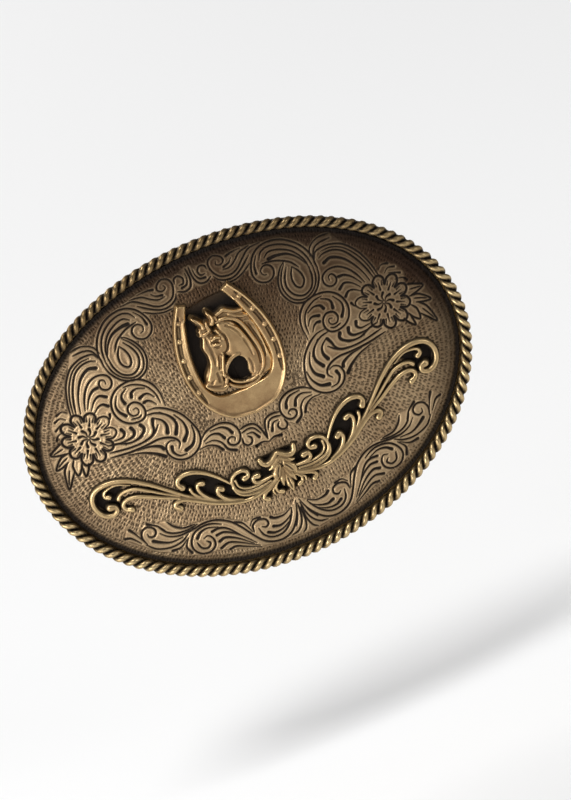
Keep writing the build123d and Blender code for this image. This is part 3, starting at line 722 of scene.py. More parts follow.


# The horse's head, three-quarter view looking down to the viewer's left: tapering masses, each with
# its height over the recess floor, then the cuts that draw the features, darkened as painted shade.
HEAD_MASSES = [
    # neck and chest, out to the shoe's right arm
    (1.1, 0.34, [(2.28, 18.1, 1.6), (3.08, 15.1, 2.3), (3.68, 12.3, 2.5), (4.88, 8.9, 2.3),
        (4.48, 6.3, 1.8)]),
    (1.3, 0.5, [(1.28, 18.7, 0.9), (1.38, 16.1, 1), (1.58, 13.7, 1.2), (1.48, 12.1, 1.1)]),
    (1.1, 0.34, [(6.68, 18.1, 0.9), (7.28, 14.9, 1.2), (7.78, 11.5, 1.3), (7.68, 8.1, 1.3),
        (6.48, 5.7, 1.2)]),
    (1.25, 0.4, [(0.5, 12.2, 0.9), (1.6, 11.9, 0.9), (2.6, 12, 0.9)]),
    (1.3, 0.34, [(2, 20.3, 0.8), (4.4, 19.6, 1), (6.4, 18.4, 1), (7.6, 16.4, 0.8)]),
    (1.1, 0.34, [(6.6, 6.6, 1), (5.6, 5.2, 0.9), (3.4, 4.9, 0.7)]),
    # crest, its inner lock and the mane's tufts
    (1.9, 0.9, [(0.68, 19.7, 0.3), (2.08, 19.8, 0.4), (3.88, 19.2, 0.45), (5.28, 17.8, 0.45),
        (5.98, 15.9, 0.42), (6.48, 13.5, 0.42), (6.88, 10.9, 0.42), (6.78, 8.3, 0.38),
        (5.88, 6.1, 0.34), (4.48, 4.9, 0.3)]),
    (1.6, 0.8, [(3.08, 17.7, 0.3), (4.28, 16.3, 0.38), (4.98, 14.3, 0.38), (5.48, 12.1, 0.34),
        (5.68, 9.9, 0.25)]),
    (1.7, 0.9, [(0.98, 21, 0.35), (2.18, 21.3, 0.42), (3.18, 21.5, 0.45), (4.28, 20.8, 0.4),
        (5.48, 20.1, 0.34), (6.98, 19.8, 0.26)]),
    (1.7, 0.9, [(4.08, 20.1, 0.26), (5.08, 19.3, 0.34), (6.28, 18.6, 0.36), (7.48, 18.3, 0.26)]),
    (1.5, 0.9, [(6.38, 17.3, 0.28), (7.38, 16.9, 0.3), (8.08, 15.9, 0.22)]),
    # skull, nose and muzzle
    (1.6, 0.55, [(-2.52, 19.4, 1.1), (-2.22, 17.3, 1.4), (-2.32, 15.2, 1.9), (-2.72, 13.1, 1.5),
        (-3.22, 11.3, 1.5), (-4.22, 9.5, 1.6), (-5.02, 7.9, 2), (-4.92, 6.8, 1.8)]),
    (2.2, 0.8, [(-3.42, 19.3, 0.35), (-3.22, 17.5, 0.4), (-3.92, 15.5, 0.5), (-3.72, 13.7, 0.42),
        (-3.92, 11.7, 0.5), (-4.82, 9.9, 0.55), (-5.92, 8.4, 0.6)]),
    (2.1, 1, [(-6.92, 7.3, 0.55), (-6.22, 6.4, 0.6), (-5.12, 5.7, 0.6), (-4.02, 5.3, 0.62),
        (-3.12, 5.5, 0.45)]),
    (2.3, 0.9, [(-5.92, 8.1, 0.35), (-5.22, 8.5, 0.38), (-4.72, 7.9, 0.3)]),
    # cheek, eye and brow
    (2, 0.34, [(-0.5, 14.9, 1.5), (-0.7, 13.9, 1.4)]),
    (2.7, 0.9, [(-1.82, 16.5, 0.28), (-0.92, 16.8, 0.38), (-0.12, 16.5, 0.28)]),
    (2.65, 0.8, [(-1.75, 15.3, 0.3), (-1.2, 15.2, 0.42), (-0.75, 15, 0.28)]),
    (2.5, 0.8, [(-3.62, 18.5, 0.3), (-2.62, 18.3, 0.36), (-1.62, 18.6, 0.3)]),
    (2.3, 0.8, [(-0.22, 18.1, 0.3), (0.48, 16.9, 0.34), (0.68, 15.7, 0.28)]),
    # jaw, running back under the cheek
    (1.7, 0.9, [(2.28, 11, 0.35), (1.08, 11, 0.45), (-0.32, 10.4, 0.5), (-1.42, 9.4, 0.5),
        (-2.02, 8.4, 0.48), (-2.42, 7.1, 0.45), (-2.92, 6.1, 0.4)]),
    (2.1, 0.6, [(-1.52, 12.1, 0.5), (-1.82, 10.9, 0.6), (-2.52, 9.5, 0.6)]),
    # ears and forelock
    (2.5, 1, [(-3.92, 22.8, 0.16), (-3.12, 21.7, 0.38), (-2.52, 20.7, 0.48), (-2.42, 19.9, 0.5)]),
    (2.6, 1, [(-0.37, 22.8, 0.16), (-0.02, 21.8, 0.4), (0.18, 20.9, 0.52), (-0.32, 20, 0.5)]),
    (2.2, 0.9, [(-1.42, 20.5, 0.35), (-1.52, 19.5, 0.4), (-1.22, 18.7, 0.25)]),
    (2.3, 0.9, [(0.28, 21.4, 0.22), (0.88, 21, 0.3), (0.98, 20.3, 0.25)]),
    # cheek strap, ring and reins
    (2.6, 0.7, [(-0.92, 12.7, 0.22), (-1.42, 11.5, 0.26), (-2.12, 9.9, 0.26), (-2.52, 8.7, 0.24)]),
    (2.5, 0.9, [(-2.62, 8.3, 0.42), (-2.52, 8, 0.42)]),
    (1.7, 0.8, [(-1.82, 6.9, 0.26), (-1.22, 5.8, 0.32), (-0.02, 5, 0.34), (1.28, 4.6, 0.34),
        (2.68, 4.4, 0.32), (3.88, 4.7, 0.26)]),
    (1.5, 0.8, [(-2.62, 5.7, 0.28), (-1.62, 4.6, 0.34), (-0.02, 3.7, 0.36), (1.68, 3.4, 0.36),
        (3.28, 3.6, 0.34), (5.08, 4.5, 0.26)]),
]
HEAD_CUTS = [
    comma(0.42, (-4.92, 8), (-5.32, 7.8), (-5.72, 7.5)),
    cut(0.55, (-3.72, 9.3), (-3.82, 8.1), (-4.02, 6.9)),
    cut(0.2, (-7.02, 7.4), (-6.22, 7), (-5.12, 6.4), (-4.22, 6.1)),
    cut(0.36, (0.48, 17.5), (1.08, 15.9), (0.98, 14.1), (0.18, 12.9), (-1.22, 12.6)),
    cut(0.3, (-2.22, 15.8), (-1.42, 16), (-0.42, 15.6)),
    cut(0.22, (-1.92, 14.7), (-1.22, 14.5), (-0.6, 14.6)),
    cut(0.36, (-2.22, 17.5), (-1.12, 17.6), (-0.22, 17.5)),
    cut(0.4, (-0.62, 19.8), (-0.62, 18.7), (-0.22, 17.6)),
    cut(0.44, (-2.82, 17.4), (-2.92, 15.9), (-2.92, 13.9), (-3.02, 12.1), (-3.42, 10.7)),
    cut(0.34, (-1.82, 12.5), (-2.32, 10.9), (-2.92, 9.7)),
    comma(0.44, (4.38, 14.4), (4.08, 15.5), (3.28, 16.9), (2.28, 18)),
    cut(0.3, (2.48, 19.2), (4.08, 18.4), (5.08, 16.8), (5.68, 14.5), (6.08, 12.1), (6.28, 9.5), (5.78, 7.1)),
    cut(0.24, (4.58, 13.7), (4.88, 11.7), (4.98, 9.5)),
    cut(0.26, (3.88, 9.1), (3.98, 7.5), (3.58, 5.9)),
    cut(0.4, (6.88, 16.3), (7.28, 13.7), (7.68, 10.9), (7.38, 7.9)),
    cut(0.26, (-3.42, 22.1), (-3.02, 21.2), (-2.82, 20.3)),
    cut(0.26, (-0.22, 22), (-0.12, 21.2), (-0.32, 20.5)),
]
JAW_OPENING = [
    (-1.8, 7.6), (-1.5, 8.5), (-0.3, 9.7), (1, 10.4), (2.1, 10.4), (2.9, 9.6), (3.1, 8.3),
    (2.7, 6.9), (2.1, 5.2), (1, 4.9), (-0.3, 5.5), (-1.5, 6.5),
]


def horse_head_height():
    grid = Grid((-8.6, 1.6), (8.4, 23.4), 0.10)
    floor = FIELD - 0.7
    blend = 0.10
    total = grid.full(0)
    for lift, crown, mass in HEAD_MASSES:
        mass = np.array(mass)
        line, along = smooth_line(mass[:, :2], spacing=0.2)
        stops = np.linspace(0, 1, len(mass))
        halves = np.interp(along, stops, mass[:, 2])
        height = grid.full(-9)
        raise_stroke(grid, height, line, halves, floor + lift, crown, fall=3.2)
        total += np.exp(height / blend)
    height = blend * np.log(total + 1e-60)
    field = grid.full(9)
    for kind, width, points in HEAD_CUTS:
        line, along = smooth_line(points)
        grid.stroke(field, line, stroke_widths(kind, width, along))
    height -= 0.30 * ease(field, 0.28, -0.14)
    line, _ = smooth_line(JAW_OPENING + JAW_OPENING[:1])
    hole = grid.inside(line)
    hole_edge = grid.full(9)
    grid.measure(hole_edge, line, 1.5)
    height = np.where(hole, np.minimum(height, floor + 0.9 - 5 * hole_edge), height)
    # The cuts are shallow grooves; their darkening is painted shade along the features.
    return grid, height, 0.6 * ease(field, 0.20, -0.14)


# =====================================================================================================
# Materials
# =====================================================================================================
def colour(code):
    """An sRGB hex colour as linear RGBA."""
    values = [int(code[i:i + 2], 16) / 255 for i in (0, 2, 4)]
    return [c / 12.92 if c <= 0.04045 else ((c + 0.055) / 1.055) ** 2.4 for c in values] + [1.0]


def add(tree, kind, settings=None, links=None):
    """Adds a node, with its properties or socket values, and links into its sockets."""
    node = tree.nodes.new(kind)
    for key, value in (settings or {}).items():
        if isinstance(key, int) or key in node.inputs:
            node.inputs[key].default_value = value
        else:
            setattr(node, key, value)
    for key, source in (links or {}).items():
        tree.links.new(source, node.inputs[key])
    return node


# Also the black of painted shade: in the cove, between the rope's lays, around the recesses and toward the
# top right.
BLACKENING_AND_PAINTED_SHADE = "17120F"      # the chemical patina where nothing has rubbed it away


def antique_brass(name, bright, worn, patina, wear_mm, grain_mm, polish, dull, reads_wear_and_painted_light=True):
    """Yellow brass darkened with a chemical patina, then rubbed back: bright where cloth and fingers
    reach, brown over the flats, nearly black and dull in the cuts. The values read from the mesh also
    carry painted highlights and painted shade. Mottled over wear_mm, with a fine brushed grain of
    grain_mm. Without those values on the mesh, pits hold the patina instead."""
    material = bpy.data.materials.new(name)
    material.use_nodes = True
    tree = material.node_tree
    tree.nodes.clear()
    place = add(tree, "ShaderNodeTexCoord").outputs["Object"]
    blotches = {"Scale": 1 / (wear_mm * MM), "Detail": 4.0, "Roughness": 0.62}
    mottle = add(tree, "ShaderNodeTexNoise", blotches, {"Vector": place}).outputs["Fac"]
    brushing = {"Scale": 1 / (grain_mm * MM), "Detail": 2.0, "Roughness": 0.5}
    grain = add(tree, "ShaderNodeTexNoise", brushing, {"Vector": place}).outputs["Fac"]
    clouds = {"From Min": 0.32, "From Max": 0.70}
    clouded = add(tree, "ShaderNodeMapRange", clouds, {"Value": mottle}).outputs["Result"]
    tones = {"data_type": "RGBA", 6: colour(worn), 7: colour(bright)}
    metal = add(tree, "ShaderNodeMix", tones, {0: clouded}).outputs[2]
    if reads_wear_and_painted_light:
        # The mesh's values brighten and darken the metal: rubbed wear and blackening, with painted highlight
        # and painted shade among them.
        for value, tone in (("rub_and_painted_highlight", bright), ("patina_and_painted_shade", patina)):
            amount = add(tree, "ShaderNodeAttribute", {"attribute_name": value}).outputs["Fac"]
            shift = {"data_type": "RGBA", 7: colour(tone)}
            metal = add(tree, "ShaderNodeMix", shift, {0: amount, 6: metal}).outputs[2]
        dark = add(tree, "ShaderNodeAttribute", {"attribute_name": "dark"}).outputs["Fac"]
    else:
        pitting = {"Scale": 1 / (wear_mm * 0.35 * MM), "Detail": 5.0, "Roughness": 0.7}
        pits = add(tree, "ShaderNodeTexNoise", pitting, {"Vector": place}).outputs["Fac"]
        deep = {"From Min": 0.56, "From Max": 0.74, "To Max": 0.75}
        dark = add(tree, "ShaderNodeMapRange", deep, {"Value": pits}).outputs["Result"]
    black = {"data_type": "RGBA", 7: colour(BLACKENING_AND_PAINTED_SHADE)}
    shade = add(tree, "ShaderNodeMix", black, {0: dark, 6: metal}).outputs[2]
    streaks = {"From Min": 0.3, "From Max": 0.7, "To Min": 0.86, "To Max": 1.06}
    streaked = add(tree, "ShaderNodeMapRange", streaks, {"Value": grain}).outputs["Result"]
    darken = {"data_type": "RGBA", "blend_type": "MULTIPLY", 0: 1.0}
    toned = add(tree, "ShaderNodeMix", darken, {6: shade, 7: streaked}).outputs[2]
    gloss = {"From Min": 0.3, "From Max": 0.7, "To Min": dull, "To Max": polish}
    rough = add(tree, "ShaderNodeMapRange", gloss, {"Value": mottle}).outputs["Result"]
    in_cuts = {"data_type": "FLOAT", 3: 0.72}
    rough_dark = add(tree, "ShaderNodeMix", in_cuts, {0: dark, 2: rough}).outputs[0]
    crusted = {"From Min": 0.0, "From Max": 1.0, "To Min": 1.0, "To Max": 0.80}
    metallic = add(tree, "ShaderNodeMapRange", crusted, {"Value": dark}).outputs["Result"]
    fine = {"Strength": 0.25, "Distance": 0.00004}
    bump = add(tree, "ShaderNodeBump", fine, {"Height": grain})
    shader = add(tree, "ShaderNodeBsdfPrincipled", {}, {
        "Base Color": toned,
        "Metallic": metallic,
        "Roughness": rough_dark,
        "Normal": bump.outputs["Normal"],
    })
    add(tree, "ShaderNodeOutputMaterial", {}, {"Surface": shader.outputs["BSDF"]})
    return material


# Brown flats with black cuts, so the engraving reads as dark lines on worn metal.
ENGRAVED = antique_brass(
    "engraved antique brass", "C6AB85", "8A6C4F", "452F1E", 9.0, 0.22, 0.29, 0.46)
# Warmer and brighter than the plate, so the shoe and the head stand forward of it; the meshes add painted
# highlight and painted shade.
OVERLAY = antique_brass(
    "cast horseshoe brass, rubbed", "CEAE7E", "917150", "543C26", 5.0, 0.20, 0.27, 0.44)
# The brightest crowns, partly painted highlight, over sides darkened as painted shade, so the thin strokes
# show against their recesses.
SCROLL_METAL = antique_brass(
    "cast scroll brass, rubbed, with painted highlight and shade", "CFB384", "927653", "523E29", 5.0, 0.20, 0.26, 0.42)
# A painted glint on each lay with painted shade between, which outlines the buckle.
ROPE_METAL = antique_brass(
    "twisted rope wire brass", "D0B788", "9C8054", "5A4428", 6.0, 0.25, 0.27, 0.42)
# Dull and blotched, as a face that only meets the belt.
BACK_METAL = antique_brass(
    "patinated back plate", "84704E", "6A573B", "3A2E20", 14.0, 0.30, 0.34, 0.50, False)
# Satin fittings that part from the darker plate behind them.
HARDWARE = antique_brass(
    "satin antique hardware brass", "A58D60", "7A6544", "3A2E20", 4.0, 0.25, 0.30, 0.46, False)
# Smooth drawn wire, the shiniest metal on the back, polished by leather.
WIRE = antique_brass(
    "drawn bail wire brass", "B59B69", "8C744C", "3A2E20", 3.0, 0.22, 0.24, 0.40, False)


# =====================================================================================================
# The front: engraved sheet and overlays
# =====================================================================================================
def build_front():
    grid = Grid((-FIELD_U, -FIELD_V), (FIELD_U, FIELD_V), STEP)
    u, v = grid.u, grid.v
    rim = rim_distance(u, v)
    keep = rim > 0
    ornament = inside_any(grid, both_halves((UPPER_ORNAMENT, LOWER_ORNAMENT)))
    shoe = [(SHOE_U + a, b) for a, b in SHOE_RECESS]
    recess = inside_any(grid, both_halves(RECESSES) + [shoe])
    engraved = engraving_distance(grid)
    pecks = matting(grid, ornament | recess)

    soft_ornament = blur(ornament.astype(float), 2)
    soft_recess = blur(recess.astype(float), 2)
    ground = (1 - soft_ornament) * (1 - soft_recess)
    edge_band = np.abs(blur(ornament.astype(float), 3) - 0.42) / 0.30
    border = np.clip(1 - edge_band, 0, 1) * (1 - soft_recess)
    cuts = np.maximum(ease(engraved, 0.18, -0.12), 0.55 * border) * (1 - soft_recess)
    dots = ease(pecks, 0.08, -0.12) * ground
    burrs = ease(pecks, 0.50, 0.22) * (1 - dots) * ground
    waves = np.sin(u * 1.9 + 0.6 * np.sin(v * 1.3)) * np.sin(v * 2.1 + 0.7 * np.sin(u * 1.1))
    rolling = 0.045 * waves
    height = FIELD - 0.02 - GROUND_DEPTH * ground
    height = height - CUT_DEPTH * cuts - PECK_DEPTH * dots + rolling * ground + 0.05 * burrs
    height = height - 0.10 * ease(engraved, 0.28, 0.95) * soft_ornament
    height = height - RECESS_DEPTH * soft_recess - COVE_DEPTH * ease(rim, 2.6, 0.7)

    # Painted shade: a broad dark halo around the recesses, reaching further above them.
    above = np.roll(recess.astype(float), 5, axis=1)
    painted_shade_halo = np.clip(1.5 * blur(above, 60), 0, 1) * (1 - soft_recess) * ground
    # The cuts, the ornament's outline, the pecks and the recesses are blackened; the rest is painted shade:
    # in the cove beside the rope, in a band inside the rim and across the plate, both heavier toward the top
    # right, and in the halo around the recesses.
    dark = np.maximum.reduce([
        0.97 * ease(engraved, 0.22, -0.02) * (1 - soft_recess),
        0.60 * border,
        0.70 * ease(pecks, 0.16, -0.08) * ground,
        (0.98 - 0.22 * ease(v, 22.5, 25.5)) * soft_recess,
        0.97 * ease(rim, 2.4, 0.7),
        0.66 * ease(rim, 9.0, 1.4) * (0.55 + 0.45 * np.clip((v + 0.8 * u) / 36, 0, 1)),
        0.50 * ease(v + 0.55 * u, 6.0, 44.0),
        0.55 * painted_shade_halo,
    ])
    # Darker and browner toward the top right, as painted shade; also browner on the matted ground and toward
    # both ends.
    top = ease(v + 0.35 * u, 0.0, 34.0)
    patina_and_painted_shade = np.clip(0.16 + 0.66 * top + 0.14 * ground + 0.22 * ease(np.abs(u), 34, 50), 0, 1)
    # Bright on the lips of the cuts and on the burrs of the pecks, partly wear and partly painted highlight,
    # and dimmed toward the top right as painted shade.
    lips = ease(engraved, 0.62, 0.20) * soft_ornament
    rub_and_painted_highlight = np.clip((0.22 + 0.70 * lips) * (1 - 0.72 * top), 0, 1) * (1 - cuts)
    rub_and_painted_highlight = np.maximum(rub_and_painted_highlight, 0.55 * burrs * (1 - 0.6 * top))
    shades = {"dark": dark, "patina_and_painted_shade": patina_and_painted_shade * (1 - 0.40 * lips), "rub_and_painted_highlight": rub_and_painted_highlight}

    edges = np.linspace(-FIELD_U, FIELD_U, 5)
    for k, (low, high) in enumerate(zip(edges[:-1], edges[1:])):
        first = int(round((low - grid.us[0]) / STEP))
        last = min(int(round((high - grid.us[0]) / STEP)), len(grid.us) - 1)
        end = last + 1
        strip = {key: value[first:end] for key, value in shades.items()}
        piece = relief_piece(f"engraved_sheet_{k + 1}", grid.columns(first, end), height[first:end],
                             keep[first:end], BACK_THICK, ENGRAVED, strip)
        finish_front(piece, "front_plate")


def finish_front(piece, node):
    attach(piece, "buckle")
    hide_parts(node)


def overlay_piece(name, grid, height, node, metal, drawn, depth=-0.8):
    """A cast overlay on the bent plate, dark low down on its sides and in its hollows, and bright along its
    crowns. The hollows' darkness is painted shade, and the crowns' brightness partly wear and partly painted
    highlight.
    """
    keep = height > FIELD + depth
    around = blur(height, 10)
    # Painted shade where the casting lies below its surroundings.
    hollow = np.clip((around - height) / 0.28, 0, 1)
    low = ease(height, FIELD + 0.75, FIELD + 0.15)
    dark = np.maximum.reduce([0.95 * low, 0.72 * hollow, 0.9 * drawn])
    # A painted highlight, with rub wear, where it stands proud of its surroundings.
    proud = np.clip((height - around) / 0.20, 0, 1)
    rub_and_painted_highlight = np.clip(0.10 + 0.90 * proud, 0, 1)
    shades = {"dark": dark, "patina_and_painted_shade": np.clip(0.34 - 0.34 * proud, 0, 1), "rub_and_painted_highlight": rub_and_painted_highlight}
    piece = relief_piece(name, grid, blur(height, 1), keep, FIELD + depth - 0.1, metal, shades)
    finish_front(piece, node)


def build_overlays():
    for side, node in ((-1, "scroll_left"), (1, "scroll_right")):
        grid, height, dark = scroll_height(side)
        overlay_piece(f"{node}_casting", grid, height, node, SCROLL_METAL, dark)
    grid, height, dark = lily_height()
    overlay_piece("lily_casting", grid, height, "scroll_lily", SCROLL_METAL, dark)
    grid, height, dark = horseshoe_height()
    overlay_piece("horseshoe_casting", grid, height, "horseshoe", OVERLAY, dark)
    grid, height, dark = horse_head_height()
    overlay_piece("horse_head_casting", grid, height, "horse_head", OVERLAY, dark, depth=-0.65)


# =====================================================================================================
# Rope edge: two wires twisted together, laid round the rim with Geometry Nodes
# =====================================================================================================
def rope_tree():
    """Winds a wire round a path: the path is divided evenly, each point is moved out to the helix, and
    the wire's round section follows. The attribute facing says how far out on the rope a point looks."""
    tree = bpy.data.node_groups.new("twisted wire round a path", "GeometryNodeTree")
    names = {}
    for label, kind, value in (
        ("Path", "NodeSocketGeometry", None),
        ("Turns", "NodeSocketInt", ROPE_TURNS),
        ("Points per turn", "NodeSocketInt", 18),
        ("Helix radius", "NodeSocketFloat", 0.0007),
        ("Wire radius", "NodeSocketFloat", 0.0007),
        ("Start angle", "NodeSocketFloat", 0.0),
        ("Metal", "NodeSocketMaterial", None),
    ):
        socket = tree.interface.new_socket(label, in_out="INPUT", socket_type=kind)
        if value is not None:
            socket.default_value = value
        names[label] = socket.identifier
    tree.interface.new_socket("Geometry", in_out="OUTPUT", socket_type="NodeSocketGeometry")
    source = add(tree, "NodeGroupInput").outputs
    number, vector = "ShaderNodeMath", "ShaderNodeVectorMath"
    product, cross = {"operation": "MULTIPLY"}, {"operation": "CROSS_PRODUCT"}
    unit, scale = {"operation": "NORMALIZE"}, {"operation": "SCALE"}

    count = add(tree, number, product, {0: source["Turns"], 1: source["Points per turn"]})
    path = add(tree, "GeometryNodeResampleCurve", {}, {"Curve": source["Path"], "Count": count.outputs[0]})
    along = add(tree, "GeometryNodeSplineParameter").outputs["Factor"]
    rounds = add(tree, number, product, {0: along, 1: source["Turns"]})
    turned = add(tree, number, {"operation": "MULTIPLY", 1: 2 * math.pi}, {0: rounds.outputs[0]})
    angle = add(tree, number, {"operation": "ADD"}, {0: turned.outputs[0], 1: source["Start angle"]})
    cosine = add(tree, number, {"operation": "COSINE"}, {0: angle.outputs[0]})
    sine = add(tree, number, {"operation": "SINE"}, {0: angle.outputs[0]})

    # Two directions square to the path: across it, and up from the plate.
    tangent = add(tree, "GeometryNodeInputTangent").outputs[0]
    outward = add(tree, "FunctionNodeInputVector", {"vector": (0, -1, 0)}).outputs[0]
    sideways = add(tree, vector, cross, {0: tangent, 1: outward})
    across = add(tree, vector, unit, {0: sideways.outputs[0]}).outputs[0]
    raised = add(tree, vector, cross, {0: across, 1: tangent})
    up = add(tree, vector, unit, {0: raised.outputs[0]}).outputs[0]
    part_a = add(tree, vector, scale, {0: across, 3: cosine.outputs[0]})
    part_b = add(tree, vector, scale, {0: up, 3: sine.outputs[0]})
    lean = add(tree, vector, {"operation": "ADD"}, {0: part_a.outputs[0], 1: part_b.outputs[0]})

    kept = add(tree, "GeometryNodeCaptureAttribute", {"domain": "POINT"})
    kept.capture_items.new("VECTOR", "Lean")
    tree.links.new(path.outputs[0], kept.inputs[0])
    tree.links.new(lean.outputs[0], kept.inputs[1])
    offset = add(tree, vector, scale, {0: kept.outputs[1], 3: source["Helix radius"]})
    shift = {"Geometry": kept.outputs[0], "Offset": offset.outputs[0]}
    moved = add(tree, "GeometryNodeSetPosition", {}, shift)
    section = {"Radius": source["Wire radius"]}
    ring = add(tree, "GeometryNodeCurvePrimitiveCircle", {"Resolution": 10}, section)
    swept = {"Curve": moved.outputs[0], "Profile Curve": ring.outputs[0]}
    wire = add(tree, "GeometryNodeCurveToMesh", {}, swept)
    normal = add(tree, "GeometryNodeInputNormal").outputs[0]
    facing = add(tree, vector, {"operation": "DOT_PRODUCT"}, {0: normal, 1: kept.outputs[1]})
    named = {"data_type": "FLOAT", "domain": "POINT", "Name": "facing"}
    marked = {"Geometry": wire.outputs[0], "Value": facing.outputs["Value"]}
    stored = add(tree, "GeometryNodeStoreNamedAttribute", named, marked)
    smooth = add(tree, "GeometryNodeSetShadeSmooth", {}, {"Geometry": stored.outputs[0]})
    real = add(tree, "GeometryNodeRealizeInstances", {}, {"Geometry": smooth.outputs[0]})
    finish = {"Geometry": real.outputs[0], "Material": source["Metal"]}
    metal = add(tree, "GeometryNodeSetMaterial", {}, finish)
    add(tree, "NodeGroupOutput", {}, {"Geometry": metal.outputs[0]})
    return tree, names


def rim_path():
    """The rope's centre line round the bent plate, as a closed curve."""
    data = bpy.data.curves.new("rope centre line", "CURVE")
    data.dimensions = "3D"
    points = 480
    spline = data.splines.new("POLY")
    spline.points.add(points - 1)
    spline.use_cyclic_u = True
    for k in range(points):
        turn = 2 * math.pi * k / points
        u = (HALF_U - ROPE / 2) * math.cos(turn)
        v = (HALF_V - ROPE / 2) * math.sin(turn)
        x, y, z = on_plate(u, v, BACK_THICK + ROPE / 2)
        spline.points[k].co = (x, y, z, 1)
    return data


def build_rope():
    tree, names = rope_tree()
    for k, letter in enumerate("ab"):
        path = bpy.data.objects.new(f"rope path {letter}", rim_path())
        bpy.context.scene.collection.objects.link(path)
        winding = path.modifiers.new("winding", "NODES")
        winding.node_group = tree
        winding[names["Turns"]] = ROPE_TURNS
        winding[names["Points per turn"]] = 18
        winding[names["Helix radius"]] = ROPE / 4 * MM
        winding[names["Wire radius"]] = ROPE / 4 * MM
        winding[names["Start angle"]] = math.pi * k
        winding[names["Metal"]] = ROPE_METAL
        bpy.context.view_layer.update()
        mesh = bpy.data.meshes.new_from_object(path.evaluated_get(bpy.context.evaluated_depsgraph_get()))
        bpy.data.objects.remove(path)
        facing = np.zeros(len(mesh.vertices), dtype=np.float32)
        place = np.zeros(len(mesh.vertices) * 3, dtype=np.float32)
        mesh.vertices.foreach_get("co", place)
        shaded = ease(place.reshape(-1, 3)[:, 2] / MM, -6.0, 36.0)
        mesh.attributes["facing"].data.foreach_get("value", facing)
        mesh.attributes.remove(mesh.attributes["facing"])
        # Painted shade between the lays and toward the top, and a painted highlight along the crown of each
        # lay.
        painted_highlight_and_shade = {
            "dark": 0.97 * ease(facing, 0.90, 0.30),
            "rub_and_painted_highlight": ease(facing, 0.6, 1.0) * (1 - 0.6 * shaded),
            "patina_and_painted_shade": 0.15 + 0.55 * shaded,
        }
        for key, values in painted_highlight_and_shade.items():
            layer = mesh.attributes.new(key, "FLOAT", "POINT")
            layer.data.foreach_set("value", values.astype(np.float32))
        strand = bpy.data.objects.new(f"rope_wire_{letter}", mesh)
        bpy.context.scene.collection.objects.link(strand)
        finish_front(strand, "rope_edge")


# =====================================================================================================
# Back: the CAD's own plates, hinge, bail and hook, given their metals
# =====================================================================================================
def soften(name, body, metal, width_mm):
    """A merged copy of a CAD node with its sharp edges rounded over, as tumbled hardware has them."""
    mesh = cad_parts[name].data.copy()
    shell = bmesh.new()
    shell.from_mesh(mesh)
    bmesh.ops.remove_doubles(shell, verts=shell.verts, dist=0.000002)
    bmesh.ops.dissolve_limit(shell, angle_limit=math.radians(1), verts=shell.verts, edges=shell.edges)
    shell.to_mesh(mesh)
    shell.free()
    mesh.materials.clear()
    mesh.materials.append(metal)
    piece = bpy.data.objects.new(f"{name}_rounded", mesh)
    bpy.context.scene.collection.objects.link(piece)
    bevel = piece.modifiers.new("rounded edges", "BEVEL")
    bevel.width = width_mm * MM
    bevel.segments = 3
    bevel.limit_method = "ANGLE"
    bevel.angle_limit = math.radians(35)
    bevel.harden_normals = True
    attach(piece, body)
    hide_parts(name)


def finish_back():
    for name in ("back_plate", "hinge_rivets", "hook_rivets"):
        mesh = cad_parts[name].data
        mesh.materials.clear()
        mesh.materials.append(BACK_METAL if name == "back_plate" else HARDWARE)
    soften("hinge_pad", "buckle", HARDWARE, 0.35)
    soften("hinge_tube", "buckle", HARDWARE, 0.25)
    soften("hook_pad", "buckle", HARDWARE, 0.30)
    soften("hook_post", "buckle", WIRE, 0.20)
    soften("bail", "bail", WIRE, 0.15)


# =====================================================================================================
# Studio
# =====================================================================================================
def plain_material(name, code, roughness):
    material = bpy.data.materials.new(name)
    material.use_nodes = True
    shader = material.node_tree.nodes["Principled BSDF"]
    shader.inputs["Base Color"].default_value = colour(code)
    shader.inputs["Roughness"].default_value = roughness
    return material


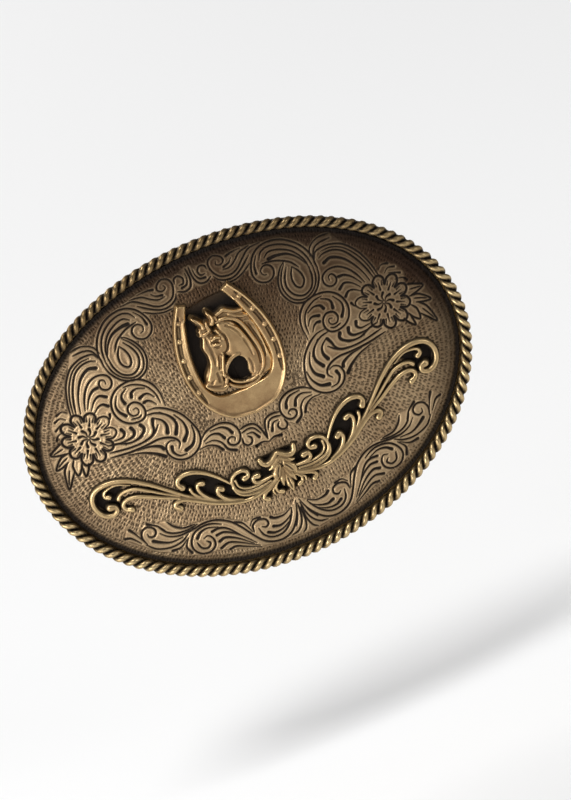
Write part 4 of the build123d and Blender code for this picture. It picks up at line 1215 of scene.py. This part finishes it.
def build_studio():
    gap_below, size = 0.045, 6.0
    drop = CAD_BOX[0][2] - gap_below
    mesh = bpy.data.meshes.new("studio floor")
    mesh.from_pydata([(-size, -size, drop), (size, -size, drop), (size, size, drop), (-size, size, drop)],
                     [], [(0, 1, 2, 3)])
    mesh.materials.append(plain_material("pale paper floor", "F4F4F4", 0.9))
    floor = bpy.data.objects.new("studio floor", mesh)
    bpy.context.scene.collection.objects.link(floor)

    world = bpy.data.worlds.new("soft studio")
    bpy.context.scene.world = world
    world.use_nodes = True
    tree = world.node_tree
    shade = tree.nodes["Background"]
    shade.inputs["Color"].default_value = colour("EFEFEF")
    shade.inputs["Strength"].default_value = 0.33

    lamps = (
        ("key", (-1.25, -0.85, 0.30), 0.8, 15.5),
        ("fill", (1.2, -1.1, 0.5), 0.5, 4.0),
        ("low", (-0.45, -0.70, 0.0), 0.12, 0.9),
        ("top", (-0.2, -0.4, 1.5), 0.6, 13.0),
        ("back", (-0.6, 1.4, 0.9), 0.9, 10.0),
    )
    for name, place, size, power in lamps:
        light = bpy.data.lights.new(name, "AREA")
        light.size = size
        light.energy = power
        lamp = bpy.data.objects.new(name, light)
        lamp.location = place
        lamp.rotation_euler = (Vector((0, 0, 0)) - Vector(place)).to_track_quat("-Z", "Y").to_euler()
        bpy.context.scene.collection.objects.link(lamp)


def build_camera():
    """A long lens, a little to the right and above, and rolled, so that the oval rises to the right."""
    azimuth, elevation, roll = math.radians(2.68), math.radians(16.75), math.radians(-25.52)
    distance = 1.009
    target = Vector((0, -(BACK_THICK + ROPE / 2) * MM, 0))
    toward = Vector((
        math.sin(azimuth) * math.cos(elevation),
        -math.cos(azimuth) * math.cos(elevation),
        math.sin(elevation),
    ))
    data = bpy.data.cameras.new("camera")
    data.sensor_fit = "VERTICAL"
    data.sensor_height = 36.0
    data.lens = 206.1
    data.shift_x = 0.0447
    data.clip_end = 20
    camera = bpy.data.objects.new("camera", data)
    upright = toward.to_track_quat("Z", "Y").to_matrix()
    turned = upright @ Matrix.Rotation(roll, 3, "Z")
    camera.matrix_world = Matrix.Translation(target + toward * distance) @ turned.to_4x4()
    bpy.context.scene.collection.objects.link(camera)
    bpy.context.scene.camera = camera
    bpy.context.scene.view_settings.view_transform = "Standard"


build_front()
build_overlays()
build_rope()
finish_back()
build_studio()
build_camera()
